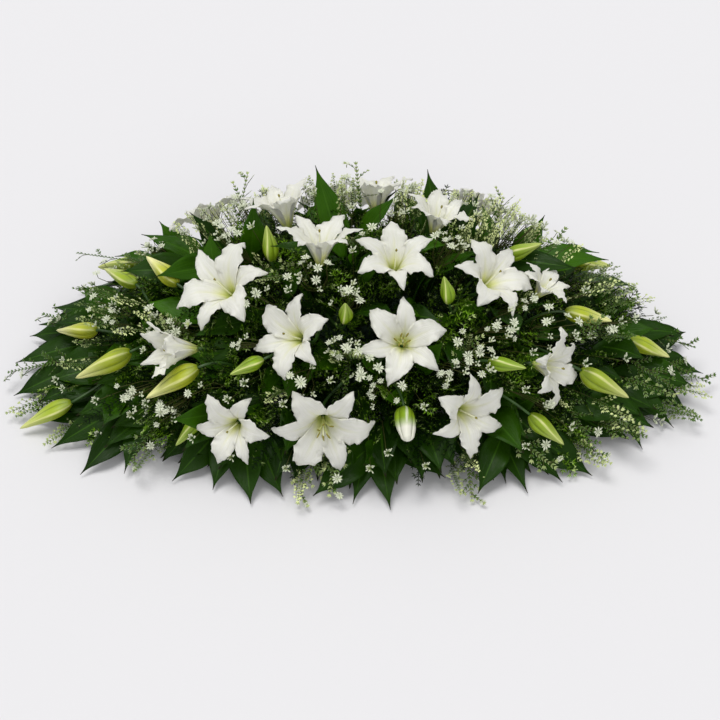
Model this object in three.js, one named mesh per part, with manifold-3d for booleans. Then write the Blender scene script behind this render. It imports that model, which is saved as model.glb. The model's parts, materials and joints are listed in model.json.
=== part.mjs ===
// Casket spray: white lilies and their buds, broad glossy leaves, fern fronds and white filler
// flowers, all standing in a block of wet foam that sits in a shallow tray.
// Millimetres, +Z up. The origin is the middle of the tray's underside. +X runs along the spray,
// and -Y is the side that faces the room.

import * as THREE from 'three';
import { mergeVertices } from 'three/addons/utils/BufferGeometryUtils.js';
import Module from 'manifold-3d';

const wasm = await Module();
wasm.setup();

// Overall form: a low dome on an oval plan, as long as a casket lid's upper half
const SPRAY = { halfLength: 500, halfDepth: 270, height: 275, shoulder: 2.2 };

// The holder in the middle of it
const TRAY = { length: 556, width: 134, height: 30, corner: 24, flare: 4, wall: 2.4, floor: 2.6 };
const FOAM = { length: 520, width: 118, height: 92, bevel: 3 };
const GAP = 0.35;
const FLOOR_CLEARANCE = 0.8;

// Every stem runs straight from its place in the foam towards its own place on the dome,
// so neighbours spread apart like the ribs of a fan and never cross.
const ROOTING = { along: 0.46, across: 0.14, lift: 50, rise: 0.05 };

const STEM_RADIUS = { lily: 3.2, leafy: 2.2, fern: 1.5, filler: 1.3 };
const PEDICEL = { radius: 3.1, entry: 14, into: 12, swing: 0.45 };
const BUD_PEDICEL = { radius: 2, into: 5, swing: 0.4 };

// One open lily at full size
const LILY = {
  span: 79,
  petalLength: 105,
  throatRadius: 3.6,
  depth: 45,
  wall: 1.4,
  startAngle: 20,
  curlPower: 1.8,
  wideShare: 33,
  tubeStops: [0.42],
  lobeStops: [0.6, 0.78, 0.92],
  wideHalf: [23, 20.5, 11],
  narrowHalf: [17, 14.5, 8],
  lift: [2.6, 1.2, -0.8],
  curlVariety: 0.12,
  lean: 7,
  wave: 3,
};
const PISTIL = { foot: 8, length: 64, radius: 1.8, stigma: 2.4 };
const STAMEN = { count: 6, root: 14, top: 60, spread: 21, radius: 1.3, taper: 0.6 };
const BUD = { stops: [0, 0.32, 0.72, 1], swell: [0.24, 1, 0.86, 0], sides: 6 };

// A leaf's outline: how far along the blade, and its half width there as a share of the widest
const LEAF = {
  stops: [0.3, 0.64, 0.86],
  widths: [1, 0.7, 0.24],
  half: 22,
  length: 128,
  thick: 1.5,
  fold: 0.2,
  stalk: 1.3,
  sag: 12,
  arch: 0.55,
  turn: 44,
  variety: 0.3,
  shortestStalk: 0.12,
};

// A fern frond's leaflets, cut to the rib
const FROND = {
  pairs: 5,
  half: 31,
  thick: 1.3,
  stalk: 0.25,
  notch: 1.6,
  forward: 1,
  end: 0.96,
  sag: 14,
  turn: 40,
};

// A filler sprig: twigs to each side of its outer half, and the florets on some of them
const SPRIG = {
  radius: 1.2,
  arch: 8,
  twigs: 4,
  first: 0.62,
  last: 0.94,
  reach: 34,
  twigRadius: 0.9,
  flowering: 0.8,
};
const FLORET = { radius: 7, notch: 2.8, thick: 2.4, points: 5 };

// How far up the way to its place a stem's first and last side growth sits
const GROWTH = {
  leaf: { first: 0.42, last: 0.6 },
  frond: { first: 0.45, last: 0.39 },
  sprig: { first: 0.5, last: 0.44 },
  spare: 0.14,
};

// Materials, as they look on the real thing
const WHITE_PETAL = new THREE.MeshStandardMaterial({ color: 0xf4f5ee, roughness: 0.55 });
const BUD_GREEN = new THREE.MeshStandardMaterial({ color: 0xa9bd52, roughness: 0.5 });
const LEAF_GREEN = new THREE.MeshStandardMaterial({ color: 0x1e4a1f, roughness: 0.35 });
const FERN_GREEN = new THREE.MeshStandardMaterial({ color: 0x2c5526, roughness: 0.6 });
const FILLER_GREEN = new THREE.MeshStandardMaterial({ color: 0x9fb67c, roughness: 0.6 });
const FOAM_GREEN = new THREE.MeshStandardMaterial({ color: 0x2f5a35, roughness: 0.95 });
const TRAY_PLASTIC = new THREE.MeshStandardMaterial({ color: 0x1f3a26, roughness: 0.45 });

const vec = (x, y, z) => new THREE.Vector3(x, y, z);
const radians = THREE.MathUtils.degToRad;

// A direction square to an axis
function squareTo(axis) {
  const other = Math.abs(axis.z) < 0.9 ? vec(0, 0, 1) : vec(0, 1, 0);
  return axis.clone().cross(other).normalize();
}

// Looks scattered but never changes: the same i and k always give the same value from 0 to 1
function scatter(i, k) {
  const wave = Math.sin(i * 12.9898 + k * 78.233) * 43758.5453;
  return wave - Math.floor(wave);
}

// A place on the dome: x along the spray, round in degrees from the front edge (0)
// over the top (90) to the back edge (180), reach 1 on the surface and less inside it
function onDome(x, round, reach) {
  const share = Math.min(Math.abs(x) / SPRAY.halfLength, 1);
  const depth = reach * SPRAY.halfDepth * Math.sqrt(1 - share ** 2);
  const height = reach * SPRAY.height * (1 - share ** SPRAY.shoulder);
  const turn = radians(round);
  return vec(x, -depth * Math.cos(turn), height * Math.sin(turn));
}

// Where the stem that heads for a place starts inside the foam
function rootFor(place) {
  const height = ROOTING.lift + ROOTING.rise * place.z;
  return vec(ROOTING.along * place.x, ROOTING.across * place.y, height);
}

// Closed solids from rings of points
function signedVolume(points, triangles) {
  let six = 0;
  for (const [a, b, c] of triangles) {
    six += points[a].dot(points[b].clone().cross(points[c]));
  }
  return six / 6;
}

function solidFrom(points, triangles) {
  const flip = signedVolume(points, triangles) < 0;
  const corners = triangles.map(([a, b, c]) => (flip ? [a, c, b] : [a, b, c]));
  const vertProperties = new Float32Array(points.flatMap((p) => [p.x, p.y, p.z]));
  const triVerts = new Uint32Array(corners.flat());
  return new wasm.Manifold(new wasm.Mesh({ numProp: 3, vertProperties, triVerts }));
}

function solidFromGeometry(geometry) {
  const bare = geometry.index ? geometry.clone() : geometry;
  bare.deleteAttribute('normal');
  bare.deleteAttribute('uv');
  const merged = mergeVertices(bare, 1e-4);
  const vertProperties = new Float32Array(merged.attributes.position.array);
  const triVerts = new Uint32Array(merged.index.array);
  return new wasm.Manifold(new wasm.Mesh({ numProp: 3, vertProperties, triVerts }));
}

function geometryFromSolid(solid) {
  const mesh = solid.getMesh();
  const geometry = new THREE.BufferGeometry();
  geometry.setAttribute('position', new THREE.BufferAttribute(mesh.vertProperties.slice(), 3));
  geometry.setIndex(new THREE.BufferAttribute(mesh.triVerts.slice(), 1));
  geometry.computeVertexNormals();
  return geometry;
}

// Joins two rings. The diagonals lean alternately, so that a blade's two faces
// are split into triangles alike and never cross.
function bandBetween(lower, upper) {
  const count = Math.max(lower.length, upper.length);
  const triangles = [];
  for (let j = 0; j < count; j += 1) {
    const next = (j + 1) % count;
    const a = lower[lower.length === 1 ? 0 : j];
    const b = lower[lower.length === 1 ? 0 : next];
    const c = upper[upper.length === 1 ? 0 : next];
    const d = upper[upper.length === 1 ? 0 : j];
    const halves = j % 2 === 0 ? [[a, b, c], [a, c, d]] : [[a, b, d], [b, c, d]];
    triangles.push(...halves.filter(([p, q, r]) => p !== q && q !== r && r !== p));
  }
  return triangles;
}

function solidFromRings(rings) {
  const points = rings.flat();
  let start = 0;
  const numbered = rings.map((ring) => {
    const numbers = ring.map((_, j) => start + j);
    start += ring.length;
    return numbers;
  });
  const triangles = [];
  for (let i = 0; i + 1 < numbered.length; i += 1) {
    triangles.push(...bandBetween(numbered[i], numbered[i + 1]));
  }
  const first = numbered[0];
  for (let j = 1; j + 1 < first.length; j += 1) {
    triangles.push([first[0], first[j + 1], first[j]]);
  }
  const last = numbered[numbered.length - 1];
  for (let j = 1; j + 1 < last.length; j += 1) {
    triangles.push([last[0], last[j], last[j + 1]]);
  }
  return solidFrom(points, triangles);
}

// The directions ahead, sideways and up at each point of a path
function framesAlong(path, up) {
  return path.map((place, i) => {
    const before = path[Math.max(i - 1, 0)];
    const after = path[Math.min(i + 1, path.length - 1)];
    const ahead = after.clone().sub(before).normalize();
    const side = ahead.clone().cross(up).normalize();
    return { place, ahead, side, up: side.clone().cross(ahead) };
  });
}

// Any direction that is well off a path's own
function directionOff(path) {
  const along = path[path.length - 1].clone().sub(path[0]).normalize();
  return Math.abs(along.z) < 0.8 ? vec(0, 0, 1) : vec(1, 0, 0);
}

// A round stem: a radius of 0 makes a point
function rod(path, radii, sides) {
  const frames = framesAlong(path, directionOff(path));
  const rings = frames.map(({ place, side, up }, i) => {
    if (radii[i] === 0) {
      return [place.clone()];
    }
    return Array.from({ length: sides }, (_, j) => {
      const turn = (2 * Math.PI * j) / sides;
      return place.clone()
        .addScaledVector(side, radii[i] * Math.cos(turn))
        .addScaledVector(up, radii[i] * Math.sin(turn));
    });
  });
  return solidFromRings(rings);
}

function bent(start, middle, end, stops) {
  const curve = new THREE.QuadraticBezierCurve3(start, middle, end);
  return stops.map((t) => curve.getPoint(t));
}

// What already has its place, so that what comes later is bent clear of it
const settled = [];

function boxesMeet(one, other) {
  const axes = [0, 1, 2];
  return axes.every((i) => one.min[i] < other.max[i] && one.max[i] > other.min[i]);
}

function isClear(solid, owner) {
  const box = solid.boundingBox();
  if (box.min[2] < FLOOR_CLEARANCE) {
    return false;
  }
  return settled.every((other) => (
    other.owner === owner
    || !boxesMeet(box, other.box)
    || solid.intersect(other.solid).isEmpty()
  ));
}

function settle(solid, owner) {
  settled.push({ solid, owner, box: solid.boundingBox() });
}

// Tries each pose in turn, a little fatter than it will be, and gives the first that is clear
// of everything but the stem that it grows from
function firstClear(stem, poses, make) {
  return poses.find((pose) => isClear(make(pose, GAP), stem));
}

// The tray: one outline drawn four times, up the outside and down the inside
function roundedOutline(length, width, corner, height) {
  const perCorner = 4;
  const places = [];
  const centres = [[1, 1], [-1, 1], [-1, -1], [1, -1]];
  centres.forEach(([sx, sy], quarter) => {
    for (let j = 0; j < perCorner; j += 1) {
      const turn = (Math.PI / 2) * (quarter + j / (perCorner - 1));
      const x = sx * (length / 2 - corner) + corner * Math.cos(turn);
      const y = sy * (width / 2 - corner) + corner * Math.sin(turn);
      places.push(vec(x, y, height));
    }
  });
  return places;
}

function traySolid() {
  const { length, width, height, corner, flare, wall, floor } = TRAY;
  const foot = { length: length - 2 * flare, width: width - 2 * flare };
  return solidFromRings([
    roundedOutline(foot.length, foot.width, corner - flare, 0),
    roundedOutline(length, width, corner, height),
    roundedOutline(length - 2 * wall, width - 2 * wall, corner - wall, height),
    roundedOutline(foot.length - 2 * wall, foot.width - 2 * wall, corner - flare - wall, floor),
  ]);
}

function foamSolid(stemHoles) {
  const { length, width, height, bevel } = FOAM;
  const shape = new THREE.Shape([
    new THREE.Vector2(-width / 2, 0),
    new THREE.Vector2(width / 2, 0),
    new THREE.Vector2(width / 2, height - bevel),
    new THREE.Vector2(width / 2 - bevel, height),
    new THREE.Vector2(bevel - width / 2, height),
    new THREE.Vector2(-width / 2, height - bevel),
  ]);
  const brick = new THREE.ExtrudeGeometry(shape, { depth: length, bevelEnabled: false });
  brick.translate(0, 0, -length / 2);
  brick.rotateX(Math.PI / 2);
  brick.rotateZ(Math.PI / 2);
  brick.translate(0, 0, TRAY.floor + GAP);
  const block = solidFromGeometry(brick);
  return stemHoles.length > 0 ? block.subtract(wasm.Manifold.union(stemHoles)) : block;
}

// Stems in the foam: each leaves a plain hole that is a little wider and deeper than itself
const holes = [];

function stemPath(place, share) {
  const root = rootFor(place);
  return [root, root.clone().lerp(place, share)];
}

function rootedStem(path, radius, sides) {
  const [root, end] = path;
  const ahead = end.clone().sub(root).normalize();
  const holePath = [root.clone().addScaledVector(ahead, -GAP), end];
  const slack = GAP / Math.cos(Math.PI / sides);
  holes.push(rod(holePath, [radius + slack, radius + slack], sides));
  return rod(path, [radius, radius], sides);
}

// The middle line of a petal: distance from the bloom's axis, height up it, and the slope there
function petalLine(share, size, curl) {
  const steps = 24;
  const slopeAt = (s) => radians(LILY.startAngle + (curl - LILY.startAngle) * s ** LILY.curlPower);
  const stride = (share * size * LILY.petalLength) / steps;
  let out = LILY.throatRadius;
  let height = 0;
  for (let i = 0; i < steps; i += 1) {
    const slope = slopeAt((share * (i + 0.5)) / steps);
    out += stride * Math.sin(slope);
    height += stride * Math.cos(slope);
  }
  return { out, height, slope: slopeAt(share) };
}

// One lily's six petals, grown together at the base. Even petals are wide and odd ones narrow.
function corollaSolid(bloom) {
  const { base, axis, roll, size, curl } = bloom;
  const side = squareTo(axis);
  const front = axis.clone().cross(side);
  const points = [];
  const triangles = [];
  const add = (place) => points.push(place) - 1;
  const at = (turn, out, height) => base.clone()
    .addScaledVector(axis, height)
    .addScaledVector(side, out * Math.cos(turn))
    .addScaledVector(front, out * Math.sin(turn));
  const inward = (turn, slope) => axis.clone().multiplyScalar(Math.sin(slope))
    .addScaledVector(side, -Math.cos(slope) * Math.cos(turn))
    .addScaledVector(front, -Math.cos(slope) * Math.sin(turn));

  // Twelve columns round the tube: the middle of each petal and the seam to the next one
  const columns = Array.from({ length: 12 }, (_, c) => {
    const petal = Math.floor(c / 2);
    const wide = petal % 2 === 0;
    const share = wide ? LILY.wideShare : 60 - LILY.wideShare;
    return radians(roll + 60 * petal + (c % 2 === 0 ? 0 : share));
  });
  const petalCurl = (petal) => curl * (1 + LILY.curlVariety * (scatter(petal, roll) - 0.5));
  const curlOf = (c) => (c % 2 === 0 ? petalCurl(c / 2) : curl);

  // Both faces start from one ring at the foot of the tube
  const foot = columns.map((turn) => add(at(turn, LILY.throatRadius, 0)));
  const inner = [foot];
  const outer = [foot];
  LILY.tubeStops.forEach((stop) => {
    const innerRing = [];
    const outerRing = [];
    columns.forEach((turn, c) => {
      const line = petalLine(stop, size, curlOf(c));
      const place = at(turn, line.out, line.height);
      const back = place.clone().addScaledVector(inward(turn, line.slope), -LILY.wall);
      innerRing.push(add(place));
      outerRing.push(add(back));
    });
    inner.push(innerRing);
    outer.push(outerRing);
  });
  for (let ring = 0; ring + 1 < inner.length; ring += 1) {
    triangles.push(...bandBetween(inner[ring], inner[ring + 1]));
    const back = bandBetween(outer[ring], outer[ring + 1]);
    triangles.push(...back.map(([a, b, c]) => [a, c, b]));
  }

  // The free petals beyond the tube
  const lastInner = inner[inner.length - 1];
  const lastOuter = outer[outer.length - 1];
  for (let petal = 0; petal < 6; petal += 1) {
    const middle = 2 * petal;
    const turn = columns[middle];
    const across = side.clone().multiplyScalar(-Math.sin(turn)).addScaledVector(front, Math.cos(turn));
    const halves = petal % 2 === 0 ? LILY.wideHalf : LILY.narrowHalf;
    const seams = [(middle + 11) % 12, middle + 1];
    let [left, right] = seams.map((c) => lastInner[c]);
    let [leftUnder, rightUnder] = seams.map((c) => lastOuter[c]);
    let top = lastInner[middle];
    let under = lastOuter[middle];
    const lean = LILY.lean * size * (scatter(petal, roll + 1) - 0.5);
    LILY.lobeStops.forEach((stop, k) => {
      const line = petalLine(stop, size, petalCurl(petal));
      const up = inward(turn, line.slope);
      const aside = (lean * (k + 1)) / LILY.lobeStops.length;
      const centre = at(turn, line.out, line.height).addScaledVector(across, aside);
      const wave = LILY.wave * (scatter(petal, roll + k + 2) - 0.5);
      const half = halves[k] * size;
      const edge = (sign) => centre.clone()
        .addScaledVector(across, sign * half)
        .addScaledVector(up, size * (LILY.lift[k] + sign * wave));
      const next = {
        left: add(edge(-1)),
        right: add(edge(1)),
        top: add(centre),
        under: add(centre.clone().addScaledVector(up, -LILY.wall)),
      };
      triangles.push([left, top, next.top], [left, next.top, next.left]);
      triangles.push([top, right, next.top], [right, next.right, next.top]);
      triangles.push([leftUnder, next.under, under], [leftUnder, next.left, next.under]);
      triangles.push([under, next.under, rightUnder], [rightUnder, next.under, next.right]);
      if (k === 0) {
        triangles.push([left, next.left, leftUnder], [next.right, right, rightUnder]);
      }
      ({ left, right, top, under } = next);
      leftUnder = left;
      rightUnder = right;
    });
    const line = petalLine(1, size, petalCurl(petal));
    const tip = add(at(turn, line.out, line.height).addScaledVector(across, lean));
    triangles.push([left, top, tip], [top, right, tip], [left, tip, under], [under, tip, right]);
  }
  return solidFrom(points, triangles);
}

// A bloom's green middle: the pistil and, in the lilies that show them, six stamens
function bloomHeart(bloom) {
  const { base, axis, size, roll } = bloom;
  const along = (height) => base.clone().addScaledVector(axis, height);
  const length = PISTIL.length * size;
  const parts = [rod(
    [along(PISTIL.foot), along(length), along(length + PISTIL.stigma)],
    [PISTIL.radius, PISTIL.stigma, 0],
    3,
  )];
  const side = squareTo(axis);
  for (let i = 0; bloom.stamens && i < STAMEN.count; i += 1) {
    const out = side.clone().applyAxisAngle(axis, radians(roll + (360 / STAMEN.count) * (i + 0.5)));
    const foot = along(STAMEN.root * size);
    const top = along(STAMEN.top * size).addScaledVector(out, STAMEN.spread * size);
    parts.push(rod([foot, top], [STAMEN.radius, STAMEN.radius * STAMEN.taper], 3));
  }
  return parts;
}

// The side stalk from a fork to a bloom: it swings round to enter the tube along its axis
function pedicel(fork, bloom) {
  const { base, axis } = bloom;
  const entry = base.clone().addScaledVector(axis, -PEDICEL.entry);
  const swing = base.clone().addScaledVector(axis, -PEDICEL.swing * base.distanceTo(fork));
  const path = bent(fork, swing, entry, [0, 0.5, 1]);
  path.push(base.clone().addScaledVector(axis, PEDICEL.into));
  return rod(path, path.map(() => PEDICEL.radius), 3);
}

// A closed bud: six-sided, fattest above the middle, with a drawn-out tip
function budSolid(bud) {
  const { foot, tip, half } = bud;
  const path = BUD.stops.map((t) => foot.clone().lerp(tip, t));
  return rod(path, BUD.swell.map((share) => share * half), BUD.sides);
}

function budPedicel(fork, bud) {
  const { foot, tip } = bud;
  const ahead = tip.clone().sub(foot).normalize();
  const swing = foot.clone().addScaledVector(ahead, -BUD_PEDICEL.swing * foot.distanceTo(fork));
  const end = foot.clone().addScaledVector(ahead, BUD_PEDICEL.into);
  const path = bent(fork, swing, end, [0, 0.5, 1]);
  return rod(path, path.map(() => BUD_PEDICEL.radius), 3);
}

// One glossy leaf with its stalk, folded along the midrib, with a drawn-out tip
function leafSolid(leaf, fatter) {
  const { foot, tip, up, half, blade } = leaf;
  const middle = foot.clone().lerp(tip, LEAF.arch).addScaledVector(up, LEAF.sag);
  const bladeStops = LEAF.stops.map((stop) => blade + (1 - blade) * stop);
  const path = bent(foot, middle, tip, [0, blade, ...bladeStops, 1]);
  const halves = [LEAF.stalk, LEAF.stalk, ...LEAF.widths.map((share) => share * half)];
  const frames = framesAlong(path, up);
  const rings = frames.map(({ place, side, up: over }, i) => {
    if (i === frames.length - 1) {
      return [place.clone().addScaledVector(frames[i].ahead, fatter)];
    }
    const onStalk = i < 2;
    const wide = halves[i] + fatter;
    const thick = (onStalk ? LEAF.stalk : LEAF.thick / 2) + fatter;
    const raise = onStalk ? 0 : LEAF.fold * halves[i];
    return [
      place.clone().addScaledVector(side, -wide).addScaledVector(over, raise),
      place.clone().addScaledVector(over, thick),
      place.clone().addScaledVector(side, wide).addScaledVector(over, raise),
      place.clone().addScaledVector(over, -thick),
    ];
  });
  return solidFromRings(rings);
}

// One fern frond: a thin arched blade whose outline is cut to the rib between leaflets
function frondSolid(frond, fatter) {
  const { foot, tip, up } = frond;
  const { pairs, stalk, notch, forward } = FROND;
  const middle = foot.clone().lerp(tip, 0.5).addScaledVector(up, FROND.sag);
  const stopAt = (j) => stalk + ((FROND.end - stalk) * j) / pairs;
  const stops = Array.from({ length: pairs + 1 }, (_, j) => stopAt(j));
  const path = bent(foot, middle, tip, [0, ...stops, 1]);
  const frames = framesAlong(path, up);
  const points = [];
  const triangles = [];
  const add = (place) => points.push(place) - 1;
  const shift = (frame, side, over) => frame.place.clone()
    .addScaledVector(frame.side, side)
    .addScaledVector(frame.up, over);
  const thick = FROND.thick / 2 + fatter;
  const spine = frames.slice(0, -1).map((frame) => ({
    top: add(shift(frame, 0, thick)),
    under: add(shift(frame, 0, -thick)),
    left: add(shift(frame, -notch - fatter, 0)),
    right: add(shift(frame, notch + fatter, 0)),
  }));
  const end = add(frames[frames.length - 1].place.clone());

  const quad = (a, b, c, d) => triangles.push([a, b, c], [a, c, d]);
  const [stem, first] = spine;
  triangles.push([stem.left, stem.top, stem.right], [stem.left, stem.right, stem.under]);
  quad(stem.left, first.left, first.top, stem.top);
  quad(stem.top, first.top, first.right, stem.right);
  quad(stem.right, first.right, first.under, stem.under);
  quad(stem.under, first.under, first.left, stem.left);
  for (let j = 1; j + 1 < spine.length; j += 1) {
    const now = spine[j];
    const next = spine[j + 1];
    const share = (j - 0.5) / pairs;
    const long = FROND.half * (1 - share) ** 0.7 * Math.min(1, 0.55 + 2 * share);
    const stride = frames[j + 1].place.distanceTo(frames[j].place);
    ['left', 'right'].forEach((edge) => {
      const sign = edge === 'left' ? -1 : 1;
      const point = shift(frames[j], sign * (long + fatter), 0)
        .addScaledVector(frames[j].ahead, stride * forward);
      const leaflet = add(point);
      const fan = [now.top, now[edge], leaflet, next[edge], next.top];
      const below = [now.under, now[edge], leaflet, next[edge], next.under];
      for (let k = 1; k + 1 < fan.length; k += 1) {
        const face = [fan[0], fan[k], fan[k + 1]];
        const other = [below[0], below[k], below[k + 1]];
        triangles.push(sign < 0 ? face : [face[0], face[2], face[1]]);
        triangles.push(sign < 0 ? [other[0], other[2], other[1]] : other);
      }
    });
  }
  const last = spine[spine.length - 1];
  triangles.push([last.top, last.left, end], [last.right, last.top, end]);
  triangles.push([last.left, last.under, end], [last.under, last.right, end]);
  return solidFrom(points, triangles);
}

// One star-shaped white floret, thin at its points
function floretSolid(centre, facing, fatter) {
  const side = squareTo(facing);
  const across = facing.clone().cross(side);
  const rim = Array.from({ length: 2 * FLORET.points }, (_, j) => {
    const turn = (Math.PI * j) / FLORET.points;
    const out = (j % 2 === 0 ? FLORET.radius : FLORET.notch) + fatter;
    return centre.clone()
      .addScaledVector(side, out * Math.cos(turn))
      .addScaledVector(across, out * Math.sin(turn));
  });
  const half = FLORET.thick / 2 + fatter;
  const over = centre.clone().addScaledVector(facing, half);
  const under = centre.clone().addScaledVector(facing, -half);
  return solidFromRings([[over], rim, [under]]);
}

// One side twig of a filler sprig: a needle-fine cone
function twigSolid(foot, tip, fatter) {
  const ahead = tip.clone().sub(foot).normalize();
  const end = tip.clone().addScaledVector(ahead, fatter);
  return rod([foot, end], [SPRIG.twigRadius + fatter, 0], 3);
}

const model = new THREE.Group();

function addMesh(name, solid, material) {
  const mesh = new THREE.Mesh(geometryFromSolid(solid), material);
  mesh.name = name;
  model.add(mesh);
}

// Joins a piece's parts, and drops the loose scraps of no volume that a join can leave
function fuse(parts) {
  const bodies = wasm.Manifold.union(parts).decompose();
  return bodies.reduce((largest, body) => (body.volume() > largest.volume() ? body : largest));
}

// The lilies. Each line gives a place on the dome (x, round, reach of the mouth), the way the
// bloom faces, its span, how far its petals curl back, and its roll.
const BLOOMS = {
  front_low_left: {
    x: -177, round: 23, reach: 0.95, facing: [-0.3, -0.85, 0.43],
    span: 57, curl: 130, roll: 75,
  },
  front_low_middle: {
    x: -50, round: 24, reach: 0.97, facing: [0.03, -0.96, 0.26],
    span: 75, curl: 138, roll: 57,
  },
  front_low_right: {
    x: 150, round: 28, reach: 0.95, facing: [0.5, -0.75, 0.4],
    span: 62, curl: 125, roll: 71,
  },
  front_mid_left: {
    x: -95, round: 53, reach: 0.93, facing: [-0.52, -0.48, 0.72],
    span: 64, curl: 130, roll: 113,
  },
  front_mid_middle: {
    x: 58, round: 51, reach: 0.94, facing: [0, -0.58, 0.81],
    span: 65, curl: 140, roll: 81,
  },
  right_side: {
    x: 268, round: 46, reach: 0.96, facing: [0.8, -0.5, 0.3],
    span: 58, curl: 120, roll: 0,
  },
  left_half_open: {
    x: -255, round: 52, reach: 0.97, facing: [-0.85, -0.4, 0.35],
    span: 60, curl: 62, roll: 0,
  },
  top_left: {
    x: -192, round: 73, reach: 0.95, facing: [-0.4, -0.3, 0.85],
    span: 74, curl: 135, roll: 59,
  },
  top_mid_left: {
    x: -56, round: 85, reach: 0.95, facing: [0, 0.3, 0.95],
    span: 63, curl: 120, roll: 2,
  },
  top_mid_right: {
    x: 49, round: 78, reach: 0.96, facing: [0.05, -0.15, 1],
    span: 63, curl: 130, roll: 34,
  },
  top_right: {
    x: 186, round: 76, reach: 0.95, facing: [0.45, -0.25, 0.85],
    span: 65, curl: 130, roll: 7,
  },
  far_right: {
    x: 262, round: 80, reach: 0.93, facing: [0.5, 0.1, 0.85],
    span: 42, curl: 110, roll: 30,
  },
  back_left: {
    x: -112, round: 108, reach: 0.95, facing: [-0.25, 0.4, 0.9],
    span: 58, curl: 115, roll: 20,
  },
  back_middle: {
    x: 24, round: 120, reach: 0.94, facing: [0, 0.5, 0.85],
    span: 54, curl: 120, roll: 10,
  },
  back_right: {
    x: 112, round: 101, reach: 0.95, facing: [0.25, 0.2, 0.95],
    span: 49, curl: 115, roll: 35,
  },
  rear_left: {
    x: -230, round: 132, reach: 0.95, facing: [-0.4, 0.7, 0.6],
    span: 66, curl: 132, roll: 0,
  },
  rear_middle: {
    x: -40, round: 150, reach: 0.95, facing: [0, 0.85, 0.5],
    span: 74, curl: 135, roll: 30,
  },
  rear_right: {
    x: 180, round: 140, reach: 0.95, facing: [0.35, 0.75, 0.55],
    span: 68, curl: 130, roll: 15,
  },
};
const WITH_STAMENS = ['front_low_middle', 'front_mid_middle'];

// The buds, each from its foot to its tip, with its half width
const BUDS = {
  left_low: { foot: [-413, -126, 44], tip: [-488, -147, 12], half: 11 },
  left_mid: { foot: [-323, -110, 130], tip: [-405, -108, 76], half: 13 },
  left_inner: { foot: [-223, -160, 149], tip: [-296, -179, 108], half: 13 },
  left_rear: { foot: [-380, -40, 105], tip: [-448, 4, 62], half: 11 },
  left_top: { foot: [-322, 0, 158], tip: [-376, 62, 132], half: 11 },
  top_pale: { foot: [-258, -34, 190], tip: [-306, 24, 190], half: 12 },
  top_upright: { foot: [-124, -22, 222], tip: [-130, -2, 270], half: 10 },
  middle_small: { foot: [-20, -128, 205], tip: [-20, -132, 244], half: 8 },
  middle_left: { foot: [-132, -165, 170], tip: [-176, -190, 166], half: 9 },
  low_left: { foot: [-222, -186, 80], tip: [-256, -218, 54], half: 9 },
  low_middle: { foot: [60, -212, 126], tip: [65, -254, 102], half: 10 },
  middle_right: { foot: [176, -158, 160], tip: [226, -178, 166], half: 9 },
  low_right: { foot: [235, -197, 94], tip: [283, -218, 56], half: 11 },
  right_large: { foot: [309, -138, 121], tip: [379, -146, 75], half: 13 },
  right_pale: { foot: [289, -62, 162], tip: [357, -60, 142], half: 11 },
  far_right: { foot: [390, -48, 92], tip: [452, -44, 54], half: 11 },
  top_right: { foot: [122, -100, 214], tip: [114, -92, 256], half: 9 },
  right_top: { foot: [206, 4, 208], tip: [258, 22, 216], half: 10 },
  rear_far_left: { foot: [-330, 110, 100], tip: [-400, 135, 70], half: 12 },
  rear_far_right: { foot: [310, 110, 105], tip: [382, 130, 76], half: 12 },
};

// Which blooms and buds share a stalk, and the place that the stalk heads for
const STALKS = {
  left: {
    heads: [-225, -75, 215],
    blooms: ['top_left', 'left_half_open'],
    buds: ['top_pale'],
  },
  top_left: {
    heads: [-125, 40, 238],
    blooms: ['back_left'],
    buds: ['top_upright'],
  },
  middle_left: {
    heads: [-70, -80, 235],
    blooms: ['top_mid_left', 'front_mid_left'],
    buds: ['middle_small', 'middle_left'],
  },
  top_right: {
    heads: [70, 30, 245],
    blooms: ['top_mid_right', 'back_right', 'back_middle'],
    buds: [],
  },
  right: {
    heads: [185, -40, 225],
    blooms: ['top_right'],
    buds: ['top_right', 'right_top'],
  },
  front_middle: {
    heads: [5, -190, 150],
    blooms: ['front_mid_middle', 'front_low_middle'],
    buds: ['low_middle'],
  },
  front_left: {
    heads: [-205, -190, 100],
    blooms: ['front_low_left'],
    buds: ['low_left', 'left_inner'],
  },
  front_right: {
    heads: [190, -195, 115],
    blooms: ['front_low_right'],
    buds: ['middle_right', 'low_right'],
  },
  far_right: {
    heads: [300, -80, 150],
    blooms: ['right_side', 'far_right'],
    buds: ['far_right', 'right_pale', 'right_large'],
  },
  far_left: {
    heads: [-395, -70, 95],
    blooms: [],
    buds: ['left_low', 'left_mid', 'left_rear', 'left_top'],
  },
  rear_left: {
    heads: [-235, 140, 130],
    blooms: ['rear_left'],
    buds: ['rear_far_left'],
  },
  rear_right: {
    heads: [195, 165, 120],
    blooms: ['rear_right'],
    buds: ['rear_far_right'],
  },
  rear_middle: {
    heads: [-40, 210, 120],
    blooms: ['rear_middle'],
    buds: [],
  },
};
const FORKS = { first: 0.6, stride: 0.06 };

function bloomFrom(name) {
  const { x, round, reach, facing, span, curl, roll } = BLOOMS[name];
  const axis = vec(...facing).normalize();
  const size = span / LILY.span;
  const mouth = onDome(x, round, reach);
  const base = mouth.addScaledVector(axis, -LILY.depth * size);
  return { base, axis, roll, size, curl, stamens: WITH_STAMENS.includes(name) };
}

function budFrom(name) {
  const { foot, tip, half } = BUDS[name];
  return { foot: vec(...foot), tip: vec(...tip), half };
}

Object.keys(BLOOMS).forEach((name) => {
  const corolla = corollaSolid(bloomFrom(name));
  settle(corolla, `lily_${name}`);
  addMesh(`lily_${name}`, corolla, WHITE_PETAL);
});

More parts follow.
